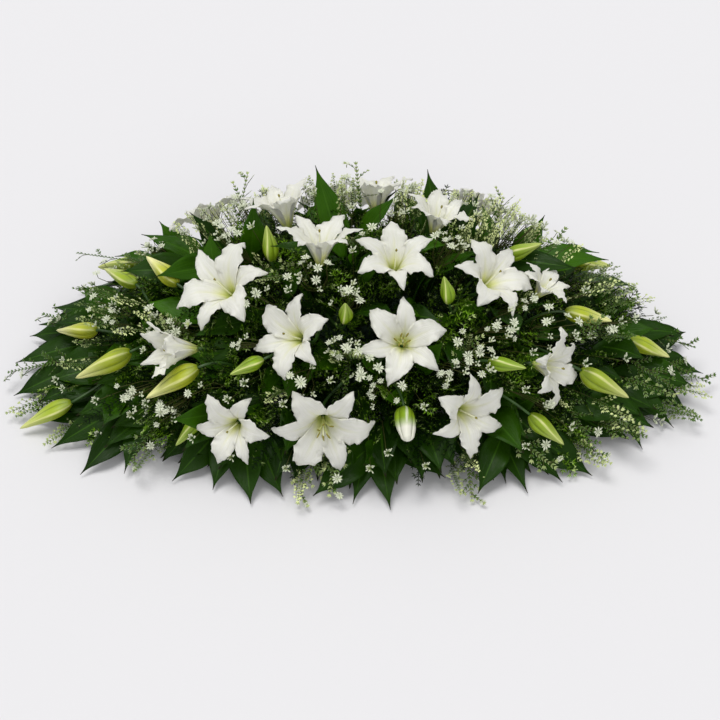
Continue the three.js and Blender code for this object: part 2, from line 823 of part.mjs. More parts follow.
Object.entries(STALKS).forEach(([name, stalk]) => {
  const owner = `stalk_${name}`;
  const path = stemPath(vec(...stalk.heads), FORKS.first);
  const parts = [rootedStem(path, STEM_RADIUS.lily, 4)];
  const forkAt = (i) => path[0].clone().lerp(path[1], 1 - FORKS.stride * i);
  stalk.blooms.map(bloomFrom).forEach((bloom, i) => {
    parts.push(pedicel(forkAt(i), bloom), ...bloomHeart(bloom));
  });
  stalk.buds.map(budFrom).forEach((bud, i) => {
    parts.push(budPedicel(forkAt(i + stalk.blooms.length), bud), budSolid(bud));
  });
  parts.forEach((part) => settle(part, owner));
  addMesh(owner, fuse(parts), BUD_GREEN);
});

settle(foamSolid([]), 'foam');
settle(traySolid(), 'tray');

// Where a leaf or twig lies if its first place is taken: lifted, swung sideways, turned over,
// or with its foot slid along the stem, the smallest changes first
const POSES = [];
const LIFTS = [0, 7, -7, 14, -14, 24];
const SWINGS = [0, 4, -4, 8, -8, 13, -13];
const TWISTS = [0, 25, -25, 50];
const SLIDES = [0, 0.06, -0.06, 0.12];
LIFTS.forEach((lift, i) => {
  SWINGS.forEach((swing, j) => {
    TWISTS.forEach((twist, k) => {
      SLIDES.forEach((slide, m) => {
        POSES.push({ lift, swing, twist, slide, order: 1.2 * i + j + 1.1 * k + 0.9 * m });
      });
    });
  });
});
POSES.sort((one, other) => one.order - other.order);

// The way a blade faces: away from the spray's middle, and rather upwards
function outwardAt(place) {
  const middle = vec(0.75 * place.x, 0.25 * place.y, 40);
  return place.clone().sub(middle).normalize().add(vec(0, 0, 0.7)).normalize();
}

// The line of a leaf, frond or twig in one of its poses
function posed(foot, tip, facing, turn, pose) {
  const ahead = tip.clone().sub(foot);
  const side = ahead.clone().cross(facing).normalize();
  const up = side.clone().cross(ahead).normalize();
  const end = foot.clone()
    .add(ahead.clone().applyAxisAngle(up, radians(pose.swing)))
    .addScaledVector(up, pose.lift);
  const axis = end.clone().sub(foot).normalize();
  return { foot, tip: end, up: up.applyAxisAngle(axis, radians(turn + pose.twist)) };
}

// Leafy branches: where each one heads, and the tip of each of its leaves
const BRANCHES = {
  front_left: {
    heads: [-225, -225, 55],
    tips: [[-263, -242, 6], [-205, -258, 6], [-151, -284, 6], [-107, -272, 8], [-262, -215, 102]],
  },
  front_middle: {
    heads: [30, -268, 30],
    tips: [[-10, -284, 6], [42, -294, 6], [95, -262, 6], [-62, -282, 10], [5, -262, 62]],
  },
  front_right: {
    heads: [245, -225, 50],
    tips: [[204, -246, 6], [233, -264, 6], [326, -232, 6], [283, -246, 8], [160, -268, 8]],
  },
  left: {
    heads: [-395, -165, 40],
    tips: [[-393, -230, 6], [-328, -232, 6], [-440, -180, 6], [-474, -128, 6], [-360, -190, 62]],
  },
  left_end: {
    heads: [-455, 10, 55],
    tips: [
      [-508, -76, 6], [-512, -18, 16], [-450, -20, 78], [-414, 62, 100], [-500, 45, 10],
      [-458, 96, 14],
    ],
  },
  right_end: {
    heads: [452, -35, 55],
    tips: [
      [402, -182, 6], [452, -140, 6], [480, -112, 6], [408, -96, 100], [432, -26, 94],
      [508, -36, 12], [492, 44, 20],
    ],
  },
  top_left: {
    heads: [-235, 55, 222],
    tips: [[-322, 100, 166], [-246, 84, 222], [-182, 84, 252], [-345, 20, 165], [-290, -40, 200]],
  },
  top_middle: {
    heads: [-25, 55, 262],
    tips: [[-65, 142, 262], [56, 66, 272], [-100, -60, 262], [-150, 130, 220]],
  },
  top_right: {
    heads: [170, 70, 245],
    tips: [[98, 140, 256], [172, 100, 244], [362, 50, 160], [318, 30, 194], [250, 110, 200]],
  },
  rear_left: {
    heads: [-320, 170, 70],
    tips: [
      [-300, 232, 6], [-235, 255, 8], [-380, 205, 8], [-440, 150, 8], [-300, 170, 135],
      [-370, 110, 105],
    ],
  },
  rear_middle: {
    heads: [-15, 262, 45],
    tips: [
      [-150, 278, 8], [-85, 288, 6], [-20, 292, 8], [50, 290, 6], [115, 282, 8], [60, 225, 150],
      [-110, 235, 130],
    ],
  },
  rear_right: {
    heads: [300, 180, 65],
    tips: [
      [180, 268, 8], [245, 256, 6], [305, 234, 8], [370, 204, 8], [430, 158, 8], [280, 175, 140],
      [360, 110, 112],
    ],
  },
};

// Adds a part in its first clear pose, and gives that pose. A part with no room is left out.
function grow(parts, stem, poses, make) {
  const pose = firstClear(stem, poses, make);
  if (pose) {
    const part = make(pose, 0);
    settle(part, `part of ${stem}`);
    parts.push(part);
  }
  return pose;
}

// A stem in the foam with side growths: growOne gets each growth's tip and where it may start
function branched(owner, plan, growth, radius, growOne) {
  const place = vec(...plan.heads);
  const reach = Math.max(growth.first, growth.last) + GROWTH.spare;
  const [root, end] = stemPath(place, reach);
  const parts = [rootedStem([root, end], radius, 3)];
  settle(parts[0], owner);
  plan.tips.forEach((corner, i) => {
    const spread = i / (plan.tips.length - 1);
    const share = growth.first + (growth.last - growth.first) * spread;
    const footAt = (slide) => root.clone().lerp(place, share + slide);
    growOne(parts, vec(...corner), footAt, i);
  });
  return fuse(parts);
}

function vary(size, i, order) {
  return size * (1 + LEAF.variety * (scatter(i, order) - 0.5));
}

Object.entries(BRANCHES).forEach(([name, branch], order) => {
  const owner = `leaves_${name}`;
  const solid = branched(owner, branch, GROWTH.leaf, STEM_RADIUS.leafy, (parts, tip, footAt, i) => {
    const turn = LEAF.turn * (scatter(i, order) - 0.5);
    const long = vary(LEAF.length, i, order + 20);
    const half = vary(LEAF.half, i, order + 40);
    grow(parts, owner, POSES, (pose, fatter) => {
      const foot = footAt(pose.slide);
      const blade = Math.max(1 - long / foot.distanceTo(tip), LEAF.shortestStalk);
      const line = posed(foot, tip, outwardAt(tip), turn, pose);
      return leafSolid({ ...line, half, blade }, fatter);
    });
  });
  addMesh(owner, solid, LEAF_GREEN);
});

// Fern: where each stem heads, and the tip of each of its fronds
const FERNS = {
  left: {
    heads: [-330, -130, 110],
    tips: [[-392, -185, 60], [-300, -210, 92], [-345, -60, 168]],
  },
  front_left: {
    heads: [-100, -225, 100],
    tips: [[-145, -262, 60], [-92, -262, 40], [-120, -232, 130]],
  },
  front_right: {
    heads: [110, -225, 105],
    tips: [[80, -275, 40], [150, -262, 66], [110, -205, 165]],
  },
  right: {
    heads: [335, -125, 105],
    tips: [[385, -165, 50], [300, -205, 80], [345, -70, 155]],
  },
  rear_left: {
    heads: [-130, 210, 130],
    tips: [[-175, 250, 90], [-100, 262, 70], [-150, 205, 160]],
  },
  rear_right: {
    heads: [130, 215, 125],
    tips: [[90, 262, 80], [160, 252, 90], [130, 190, 180]],
  },
};

Object.entries(FERNS).forEach(([name, fern], order) => {
  const owner = `fern_${name}`;
  const solid = branched(owner, fern, GROWTH.frond, STEM_RADIUS.fern, (parts, tip, footAt, i) => {
    const turn = FROND.turn * (scatter(i, order + 60) - 0.5);
    grow(parts, owner, POSES, (pose, fatter) => {
      const line = posed(footAt(pose.slide), tip, outwardAt(tip), turn, pose);
      return frondSolid(line, fatter);
    });
  });
  addMesh(owner, solid, FERN_GREEN);
});

// Filler sprays: where each stem heads, and the tip of each of its sprigs
const TWIG_POSES = [0, 25, -25, 50, -50].flatMap((swing) => (
  [0, 10, -10].map((lift) => ({ swing, lift, twist: 0 }))
));
const FILLERS = {
  left_end: { heads: [-440, -60, 75], tips: [[-512, -40, 10], [-470, 40, 60]] },
  left: { heads: [-290, -110, 150], tips: [[-334, -214, 24], [-270, -110, 178]] },
  top_left: { heads: [-280, 90, 180], tips: [[-420, 110, 120], [-165, 150, 238]] },
  top_middle: { heads: [10, 95, 250], tips: [[28, 140, 262], [-10, -40, 280], [-150, -75, 245]] },
  top_right: { heads: [240, 80, 215], tips: [[205, 85, 245], [285, 30, 214]] },
  right_end: { heads: [425, 25, 95], tips: [[508, -62, 14], [492, -12, 44], [456, -118, 44]] },
  right: { heads: [330, -110, 130], tips: [[339, -216, 22], [330, -95, 162], [395, 92, 118]] },
  front: { heads: [-20, -200, 170], tips: [[-20, -190, 206], [-42, -282, 26], [-85, -282, 10]] },
  front_right: { heads: [195, -230, 60], tips: [[155, -276, 8], [252, -252, 20], [150, -150, 200]] },
};

// A sprig: an arched twig with finer twigs to each side of its outer half, some with a floret
function addSprig(parts, stem, footAt, corner, order) {
  const facing = outwardAt(corner);
  const pathOf = (pose) => {
    const foot = footAt(pose.slide);
    const { tip } = posed(foot, corner, facing, 0, pose);
    const middle = foot.clone().lerp(tip, 0.5).addScaledVector(facing, SPRIG.arch);
    return new THREE.QuadraticBezierCurve3(foot, middle, tip);
  };
  const axisPose = grow(parts, stem, POSES, (pose, fatter) => {
    const path = [0, 0.5, 1].map((t) => pathOf(pose).getPoint(t));
    return rod(path, [SPRIG.radius + fatter, SPRIG.radius + fatter, 0], 3);
  });
  if (!axisPose) {
    return;
  }
  const axis = `part of ${stem}`;
  const curve = pathOf(axisPose);
  for (let i = 0; i < SPRIG.twigs; i += 1) {
    const share = SPRIG.first + ((SPRIG.last - SPRIG.first) * i) / (SPRIG.twigs - 1);
    const start = curve.getPoint(share);
    const ahead = curve.getTangent(share);
    const side = ahead.clone().cross(facing).normalize().multiplyScalar(i % 2 === 0 ? 1 : -1);
    const long = SPRIG.reach * (1.1 - 0.6 * share);
    const end = start.clone()
      .addScaledVector(side, 0.75 * long)
      .addScaledVector(ahead, 0.6 * long)
      .addScaledVector(facing, long * (scatter(i, order) - 0.2));
    const flowers = i % 2 === 1 && scatter(i, order + 50) < SPRIG.flowering;
    grow(parts, axis, TWIG_POSES, (pose, fatter) => {
      const line = posed(start, end, facing, 0, pose);
      const twig = twigSolid(line.foot, line.tip, fatter);
      return flowers ? twig.add(floretSolid(line.tip, facing, fatter)) : twig;
    });
  }
}

Object.entries(FILLERS).forEach(([name, filler], order) => {
  const owner = `filler_${name}`;
  const solid = branched(owner, filler, GROWTH.sprig, STEM_RADIUS.filler, (parts, tip, footAt, i) => {
    addSprig(parts, owner, footAt, tip, order * 10 + i);
  });
  addMesh(owner, solid, FILLER_GREEN);
});

addMesh('foam_block', foamSolid(holes), FOAM_GREEN);
addMesh('holder_tray', traySolid(), TRAY_PLASTIC);

export default model;
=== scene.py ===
"""Dresses a packed casket spray: open white lilies and their buds, broad glossy leaves, fine
greenery and small white filler flowers, round a block of wet foam in a shallow tray.

Metres, +Z up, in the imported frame. +X runs along the spray and -Y is the side that faces the room.
"""

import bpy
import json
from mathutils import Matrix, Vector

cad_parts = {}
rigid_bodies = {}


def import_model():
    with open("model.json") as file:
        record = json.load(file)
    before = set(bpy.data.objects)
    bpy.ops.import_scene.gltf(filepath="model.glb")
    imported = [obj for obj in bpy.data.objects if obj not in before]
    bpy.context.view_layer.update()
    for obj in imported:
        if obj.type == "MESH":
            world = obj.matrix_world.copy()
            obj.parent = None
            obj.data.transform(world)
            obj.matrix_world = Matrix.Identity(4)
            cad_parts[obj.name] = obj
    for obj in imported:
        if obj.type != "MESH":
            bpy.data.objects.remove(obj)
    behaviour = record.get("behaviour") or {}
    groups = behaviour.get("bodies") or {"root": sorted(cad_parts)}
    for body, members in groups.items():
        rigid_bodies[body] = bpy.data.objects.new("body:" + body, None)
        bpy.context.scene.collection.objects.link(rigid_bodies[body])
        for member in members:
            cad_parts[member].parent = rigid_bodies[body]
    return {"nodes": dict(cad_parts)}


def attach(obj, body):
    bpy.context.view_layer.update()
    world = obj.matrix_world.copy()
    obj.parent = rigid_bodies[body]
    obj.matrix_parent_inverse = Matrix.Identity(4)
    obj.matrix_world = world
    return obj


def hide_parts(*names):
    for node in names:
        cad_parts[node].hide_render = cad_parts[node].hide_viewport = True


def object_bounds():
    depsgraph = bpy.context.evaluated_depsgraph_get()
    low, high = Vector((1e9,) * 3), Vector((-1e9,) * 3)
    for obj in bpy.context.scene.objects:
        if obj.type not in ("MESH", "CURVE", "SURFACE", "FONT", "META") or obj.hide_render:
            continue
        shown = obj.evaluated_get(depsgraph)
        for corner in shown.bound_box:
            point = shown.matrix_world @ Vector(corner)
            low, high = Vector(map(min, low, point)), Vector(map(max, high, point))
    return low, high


bl_info = {
    "name": "Lily Casket Spray",
    "version": (1, 0, 0),
    "blender": (4, 5, 0),
    "location": "3D View > Sidebar > Spray",
    "description": "Petals, leaves, fine greenery and a soft studio for a packed casket spray",
    "category": "Object",
}

import json
import math
from itertools import product

import bpy
import numpy as np
from bpy.props import FloatProperty, FloatVectorProperty, IntProperty, PointerProperty
from mathutils import Matrix, Vector
from mathutils.bvhtree import BVHTree
from mathutils.kdtree import KDTree

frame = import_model()
CAD_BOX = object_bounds()
BODY = "root"

# The form that the construction gives the spray, and that this dressing follows
DOME = {"half_length": 0.5, "half_depth": 0.27, "height": 0.275, "shoulder": 2.2}
ROOTING = {"along": 0.46, "across": 0.14, "lift": 0.05, "rise": 0.05}
LILY = {
    "span": 0.079,
    "length": 0.105,
    "throat": 0.0036,
    "depth": 0.045,
    "start_angle": 20,
    "curl_power": 1.8,
    "curl_variety": 0.12,
    "lean": 0.007,
    "wave": 0.003,
}
LOBE_STOPS = (0.6, 0.78, 0.92)
FORKS = {"first": 0.6, "stride": 0.06}
PEDICEL = {"radius": 0.0029, "entry": 0.014, "swing": 0.45}
BUD_PEDICEL = {"radius": 0.002, "into": 0.005, "swing": 0.4}
STEM_RADIUS = {"lily": 0.0032, "leafy": 0.0022}
LEAF = {
    "stops": (0.3, 0.64),
    "length": 0.128,
    "half": 0.022,
    "fold": 0.2,
    "stalk": 0.0013,
    "sag": 0.012,
    "arch": 0.55,
    "turn": 44,
    "variety": 0.3,
    "shortest_stalk": 0.12,
}
FROND = {"pairs": 5, "half": 0.031, "stalk": 0.25, "end": 0.96, "sag": 0.014, "turn": 40}
SPRIG = {"arch": 0.008, "twigs": 4, "first": 0.62, "last": 0.94, "reach": 0.034, "flowering": 0.8}
GROWTH = {"leaf": (0.42, 0.6), "frond": (0.45, 0.39), "sprig": (0.5, 0.44), "spare": 0.14}
LIFTS = (0, 0.007, -0.007, 0.014, -0.014, 0.024)
SWINGS = (0, 4, -4, 8, -8, 13, -13)
TWISTS = (0, 25, -25, 50)
SLIDES = (0, 0.06, -0.06, 0.12)
TWIG_SWINGS = (0, 25, -25, 50, -50)
TWIG_LIFTS = (0, 0.01, -0.01)
MATCH = 0.0004

# Each lily: x, degrees round the dome, reach of its mouth, the way it faces, span, curl and roll
BLOOMS = {
    "front_low_left": (-0.177, 23, 0.95, (-0.3, -0.85, 0.43), 0.057, 130, 75),
    "front_low_middle": (-0.05, 24, 0.97, (0.03, -0.96, 0.26), 0.075, 138, 57),
    "front_low_right": (0.15, 28, 0.95, (0.5, -0.75, 0.4), 0.062, 125, 71),
    "front_mid_left": (-0.095, 53, 0.93, (-0.52, -0.48, 0.72), 0.064, 130, 113),
    "front_mid_middle": (0.058, 51, 0.94, (0, -0.58, 0.81), 0.065, 140, 81),
    "right_side": (0.268, 46, 0.96, (0.8, -0.5, 0.3), 0.058, 120, 0),
    "left_half_open": (-0.255, 52, 0.97, (-0.85, -0.4, 0.35), 0.06, 26, 0),
    "top_left": (-0.192, 73, 0.95, (-0.4, -0.3, 0.85), 0.074, 135, 59),
    "top_mid_left": (-0.056, 85, 0.95, (0, 0.3, 0.95), 0.066, 88, 2),
    "top_mid_right": (0.049, 78, 0.96, (0.05, -0.15, 1), 0.063, 118, 34),
    "top_right": (0.186, 76, 0.95, (0.45, -0.25, 0.85), 0.065, 130, 7),
    "far_right": (0.262, 80, 0.93, (0.5, 0.1, 0.85), 0.042, 110, 30),
    "back_left": (-0.112, 108, 0.95, (-0.25, 0.4, 0.9), 0.064, 82, 20),
    "back_middle": (0.024, 120, 0.94, (0, 0.5, 0.85), 0.06, 84, 10),
    "back_right": (0.112, 101, 0.95, (0.25, 0.2, 0.95), 0.056, 86, 35),
    "rear_left": (-0.23, 132, 0.95, (-0.4, 0.7, 0.6), 0.066, 132, 0),
    "rear_middle": (-0.04, 150, 0.95, (0, 0.85, 0.5), 0.074, 135, 30),
    "rear_right": (0.18, 140, 0.95, (0.35, 0.75, 0.55), 0.068, 130, 15),
}
WITH_STAMENS = ("front_low_middle", "front_mid_middle")

# Each bud: its foot, its tip, its half width, and how ripe it is, from green to cream
BUDS = {
    "left_low": ((-0.413, -0.126, 0.044), (-0.488, -0.147, 0.012), 0.011, 0.45),
    "left_mid": ((-0.323, -0.11, 0.13), (-0.405, -0.108, 0.076), 0.013, 0.7),
    "left_inner": ((-0.223, -0.16, 0.149), (-0.296, -0.179, 0.108), 0.013, 0.85),
    "left_rear": ((-0.38, -0.04, 0.105), (-0.448, 0.004, 0.062), 0.011, 1.1),
    "left_top": ((-0.322, 0.0, 0.158), (-0.376, 0.062, 0.132), 0.011, 0.4),
    "top_pale": ((-0.258, -0.034, 0.19), (-0.306, 0.024, 0.19), 0.012, 1.3),
    "top_upright": ((-0.124, -0.022, 0.222), (-0.13, -0.002, 0.27), 0.01, 0.15),
    "middle_small": ((-0.02, -0.128, 0.205), (-0.02, -0.132, 0.244), 0.008, 0.1),
    "middle_left": ((-0.132, -0.165, 0.17), (-0.176, -0.19, 0.166), 0.009, 0.1),
    "low_left": ((-0.222, -0.186, 0.08), (-0.256, -0.218, 0.054), 0.009, 0.1),
    "low_middle": ((0.06, -0.212, 0.126), (0.065, -0.254, 0.102), 0.01, 2.2),
    "middle_right": ((0.176, -0.158, 0.16), (0.226, -0.178, 0.166), 0.009, 0.05),
    "low_right": ((0.235, -0.197, 0.094), (0.283, -0.218, 0.056), 0.011, 0.25),
    "right_large": ((0.309, -0.138, 0.121), (0.379, -0.146, 0.075), 0.013, 0.45),
    "right_pale": ((0.289, -0.062, 0.162), (0.357, -0.06, 0.142), 0.011, 0.75),
    "far_right": ((0.39, -0.048, 0.092), (0.452, -0.044, 0.054), 0.011, 0.6),
    "top_right": ((0.122, -0.1, 0.214), (0.114, -0.092, 0.256), 0.009, 0.05),
    "right_top": ((0.206, 0.004, 0.208), (0.258, 0.022, 0.216), 0.01, 0.2),
    "rear_far_left": ((-0.33, 0.11, 0.1), (-0.4, 0.135, 0.07), 0.012, 0.4),
    "rear_far_right": ((0.31, 0.11, 0.105), (0.382, 0.13, 0.076), 0.012, 0.4),
}

# Each lily stalk: the place it heads for, and its blooms and buds
STALKS = {
    "left": ((-0.225, -0.075, 0.215), ["top_left", "left_half_open"], ["top_pale"]),
    "top_left": ((-0.125, 0.04, 0.238), ["back_left"], ["top_upright"]),
    "middle_left": (
        (-0.07, -0.08, 0.235), ["top_mid_left", "front_mid_left"],
        ["middle_small", "middle_left"],
    ),
    "top_right": ((0.07, 0.03, 0.245), ["top_mid_right", "back_right", "back_middle"], []),
    "right": ((0.185, -0.04, 0.225), ["top_right"], ["top_right", "right_top"]),
    "front_middle": ((0.005, -0.19, 0.15), ["front_mid_middle", "front_low_middle"], ["low_middle"]),
    "front_left": ((-0.205, -0.19, 0.1), ["front_low_left"], ["low_left", "left_inner"]),
    "front_right": ((0.19, -0.195, 0.115), ["front_low_right"], ["middle_right", "low_right"]),
    "far_right": (
        (0.3, -0.08, 0.15), ["right_side", "far_right"],
        ["far_right", "right_pale", "right_large"],
    ),
    "far_left": ((-0.395, -0.07, 0.095), [], ["left_low", "left_mid", "left_rear", "left_top"]),
    "rear_left": ((-0.235, 0.14, 0.13), ["rear_left"], ["rear_far_left"]),
    "rear_right": ((0.195, 0.165, 0.12), ["rear_right"], ["rear_far_right"]),
    "rear_middle": ((-0.04, 0.21, 0.12), ["rear_middle"], []),
}

# Each leafy branch: the place it heads for, and the tips of its leaves
BRANCHES = {
    "front_left": ((-0.225, -0.225, 0.055), [
        (-0.263, -0.242, 0.006), (-0.205, -0.258, 0.006), (-0.151, -0.284, 0.006), (-0.107, -0.272, 0.008),
        (-0.262, -0.215, 0.102),
    ]),
    "front_middle": ((0.03, -0.268, 0.03), [
        (-0.01, -0.284, 0.006), (0.042, -0.294, 0.006), (0.095, -0.262, 0.006), (-0.062, -0.282, 0.01),
        (0.005, -0.262, 0.062),
    ]),
    "front_right": ((0.245, -0.225, 0.05), [
        (0.204, -0.246, 0.006), (0.233, -0.264, 0.006), (0.326, -0.232, 0.006), (0.283, -0.246, 0.008),
        (0.16, -0.268, 0.008),
    ]),
    "left": ((-0.395, -0.165, 0.04), [
        (-0.393, -0.23, 0.006), (-0.328, -0.232, 0.006), (-0.44, -0.18, 0.006), (-0.474, -0.128, 0.006),
        (-0.36, -0.19, 0.062),
    ]),
    "left_end": ((-0.455, 0.01, 0.055), [
        (-0.508, -0.076, 0.006), (-0.512, -0.018, 0.016), (-0.45, -0.02, 0.078), (-0.414, 0.062, 0.1),
        (-0.5, 0.045, 0.01), (-0.458, 0.096, 0.014),
    ]),
    "right_end": ((0.452, -0.035, 0.055), [
        (0.402, -0.182, 0.006), (0.452, -0.14, 0.006), (0.48, -0.112, 0.006), (0.408, -0.096, 0.1),
        (0.432, -0.026, 0.094), (0.508, -0.036, 0.012), (0.492, 0.044, 0.02),
    ]),
    "top_left": ((-0.235, 0.055, 0.222), [
        (-0.322, 0.1, 0.166), (-0.246, 0.084, 0.222), (-0.182, 0.084, 0.252), (-0.345, 0.02, 0.165),
        (-0.29, -0.04, 0.2),
    ]),
    "top_middle": ((-0.025, 0.055, 0.262), [
        (-0.065, 0.142, 0.262), (0.056, 0.066, 0.272), (-0.1, -0.06, 0.262), (-0.15, 0.13, 0.22),
    ]),
    "top_right": ((0.17, 0.07, 0.245), [
        (0.098, 0.14, 0.256), (0.172, 0.1, 0.244), (0.362, 0.05, 0.16), (0.318, 0.03, 0.194),
        (0.25, 0.11, 0.2),
    ]),
    "rear_left": ((-0.32, 0.17, 0.07), [
        (-0.3, 0.232, 0.006), (-0.235, 0.255, 0.008), (-0.38, 0.205, 0.008), (-0.44, 0.15, 0.008),
        (-0.3, 0.17, 0.135), (-0.37, 0.11, 0.105),
    ]),
    "rear_middle": ((-0.015, 0.262, 0.045), [
        (-0.15, 0.278, 0.008), (-0.085, 0.288, 0.006), (-0.02, 0.292, 0.008), (0.05, 0.29, 0.006),
        (0.115, 0.282, 0.008), (0.06, 0.225, 0.15), (-0.11, 0.235, 0.13),
    ]),
    "rear_right": ((0.3, 0.18, 0.065), [
        (0.18, 0.268, 0.008), (0.245, 0.256, 0.006), (0.305, 0.234, 0.008), (0.37, 0.204, 0.008),
        (0.43, 0.158, 0.008), (0.28, 0.175, 0.14), (0.36, 0.11, 0.112),
    ]),
}

# Each fern stem: the place it heads for, and the tips of its fronds
FERNS = {
    "left": ((-0.33, -0.13, 0.11), [(-0.392, -0.185, 0.06), (-0.3, -0.21, 0.092), (-0.345, -0.06, 0.168)]),
    "front_left": ((-0.1, -0.225, 0.1), [
        (-0.145, -0.262, 0.06), (-0.092, -0.262, 0.04), (-0.12, -0.232, 0.13),
    ]),
    "front_right": ((0.11, -0.225, 0.105), [
        (0.08, -0.275, 0.04), (0.15, -0.262, 0.066), (0.11, -0.205, 0.165),
    ]),
    "right": ((0.335, -0.125, 0.105), [(0.385, -0.165, 0.05), (0.3, -0.205, 0.08), (0.345, -0.07, 0.155)]),
    "rear_left": ((-0.13, 0.21, 0.13), [(-0.175, 0.25, 0.09), (-0.1, 0.262, 0.07), (-0.15, 0.205, 0.16)]),
    "rear_right": ((0.13, 0.215, 0.125), [(0.09, 0.262, 0.08), (0.16, 0.252, 0.09), (0.13, 0.19, 0.18)]),
}

# Each filler stem: the place it heads for, and the tips of its sprigs
FILLERS = {
    "left_end": ((-0.44, -0.06, 0.075), [(-0.512, -0.04, 0.01), (-0.47, 0.04, 0.06)]),
    "left": ((-0.29, -0.11, 0.15), [(-0.334, -0.214, 0.024), (-0.27, -0.11, 0.178)]),
    "top_left": ((-0.28, 0.09, 0.18), [(-0.42, 0.11, 0.12), (-0.165, 0.15, 0.238)]),
    "top_middle": ((0.01, 0.095, 0.25), [
        (0.028, 0.14, 0.262), (-0.01, -0.04, 0.28), (-0.15, -0.075, 0.245),
    ]),
    "top_right": ((0.24, 0.08, 0.215), [(0.205, 0.085, 0.245), (0.285, 0.03, 0.214)]),
    "right_end": ((0.425, 0.025, 0.095), [
        (0.508, -0.062, 0.014), (0.492, -0.012, 0.044), (0.456, -0.118, 0.044),
    ]),
    "right": ((0.33, -0.11, 0.13), [(0.339, -0.216, 0.022), (0.33, -0.095, 0.162), (0.395, 0.092, 0.118)]),
    "front": ((-0.02, -0.2, 0.17), [
        (-0.02, -0.19, 0.206), (-0.042, -0.282, 0.026), (-0.085, -0.282, 0.01),
    ]),
    "front_right": ((0.195, -0.23, 0.06), [
        (0.155, -0.276, 0.008), (0.252, -0.252, 0.02), (0.15, -0.15, 0.2),
    ]),
}


def scatter(i, k):
    """Looks scattered but never changes: the same i and k always give the same value, 0 to 1.
    Here i is the number of a thing and k tells one use from another."""
    wave = math.sin(i * 12.9898 + k * 78.233) * 43758.5453
    return wave - math.floor(wave)


def on_dome(x, around, reach):
    """A place on the dome: around runs in degrees from the front edge over the top to the back."""
    share = min(abs(x) / DOME["half_length"], 1)
    depth = reach * DOME["half_depth"] * math.sqrt(1 - share**2)
    height = reach * DOME["height"] * (1 - share ** DOME["shoulder"])
    turn = math.radians(around)
    return Vector((x, -depth * math.cos(turn), height * math.sin(turn)))


def root_for(place):
    """Where the stem that heads for a place starts inside the foam."""
    height = ROOTING["lift"] + ROOTING["rise"] * place.z
    return Vector((ROOTING["along"] * place.x, ROOTING["across"] * place.y, height))


def outward_at(place):
    """The way a blade faces: away from the spray's middle, and rather upwards."""
    away = place - Vector((0.75 * place.x, 0.25 * place.y, 0.04))
    return (away.normalized() + Vector((0, 0, 0.7))).normalized()


def square_to(axis):
    """A direction square to an axis."""
    other = Vector((0, 0, 1)) if abs(axis.z) < 0.9 else Vector((0, 1, 0))
    return axis.cross(other).normalized()


def turned(vector, axis, degrees):
    """A vector turned about an axis."""
    return Matrix.Rotation(math.radians(degrees), 3, axis) @ vector


def bend(start, middle, end, t):
    """A point of the arc that leaves start and reaches end, drawn towards middle."""
    return start * (1 - t) ** 2 + middle * (2 * t * (1 - t)) + end * t**2


def frames_along(path, up):
    """The place, and the ways ahead, sideways and up, at each point of a path."""
    frames = []
    for i, place in enumerate(path):
        ahead = (path[min(i + 1, len(path) - 1)] - path[max(i - 1, 0)]).normalized()
        side = ahead.cross(up).normalized()
        frames.append((place, ahead, side, side.cross(ahead)))
    return frames


def smooth(low, high, values):
    """Rises smoothly from 0 at low to 1 at high."""
    t = np.clip((np.asarray(values, float) - low) / (high - low), 0, 1)
    return t * t * (3 - 2 * t)


def eased(stops, values, at):
    """A smooth curve that passes through the values at their stops."""
    stops = np.asarray(stops, float)
    values = np.asarray(values, float)
    pull = np.gradient(values, stops)
    k = np.clip(np.searchsorted(stops, at, side="right") - 1, 0, len(stops) - 2)
    gap = stops[k + 1] - stops[k]
    t = (at - stops[k]) / gap
    from_left = (1 + 2 * t) * (1 - t) ** 2 * values[k] + t * (1 - t) ** 2 * gap * pull[k]
    from_right = t**2 * (3 - 2 * t) * values[k + 1] + t**2 * (t - 1) * gap * pull[k + 1]
    return from_left + from_right


def unit(rows):
    """Vectors brought to a length of one."""
    return rows / np.maximum(np.linalg.norm(rows, axis=-1, keepdims=True), 1e-12)


class Form:
    """Gathers closed shapes into one mesh. Each point carries its flow: how far across and
    along its own petal or blade it lies, and that petal's or blade's tone."""

    def __init__(self):
        self.points = []
        self.flow = []
        self.faces = []
        self.finishes = []
        self.count = 0

    def add(self, points, faces, flow, finish=0):
        """Adds a closed shape, turned so that its faces point outwards."""
        points = np.asarray(points, float).reshape(-1, 3)
        total = 0.0
        for size in {len(face) for face in faces}:
            corners = points[np.array([face for face in faces if len(face) == size])]
            for k in range(1, size - 1):
                cross = np.cross(corners[:, k], corners[:, k + 1])
                total += np.einsum("ij,ij->", corners[:, 0], cross)
        step = 1 if total > 0 else -1
        self.faces.extend([[n + self.count for n in face[::step]] for face in faces])
        self.finishes.extend([finish] * len(faces))
        self.points.append(points)
        self.flow.append(np.broadcast_to(np.asarray(flow, float), points.shape))
        self.count += len(points)

    def add_sheet(self, grid, thickness, columns, rows, tone):
        """Adds a closed blade round a grid of points, with its flow. Rows are a column."""
        points, faces = closed_sheet(grid, thickness)
        flow = np.stack(np.broadcast_arrays(columns, rows, tone), -1).reshape(-1, 3)
        self.add(points, faces, np.concatenate([flow, flow]))

    def mesh(self, name):
        """The gathered mesh."""
        made = bpy.data.meshes.new(name)
        made.from_pydata(np.concatenate(self.points).tolist(), [], self.faces)
        made.polygons.foreach_set("material_index", self.finishes)
        made.polygons.foreach_set("use_smooth", [True] * len(self.faces))
        flow = made.attributes.new("flow", "FLOAT_VECTOR", "POINT")
        flow.data.foreach_set("vector", np.concatenate(self.flow).ravel())
        made.update()
        return made


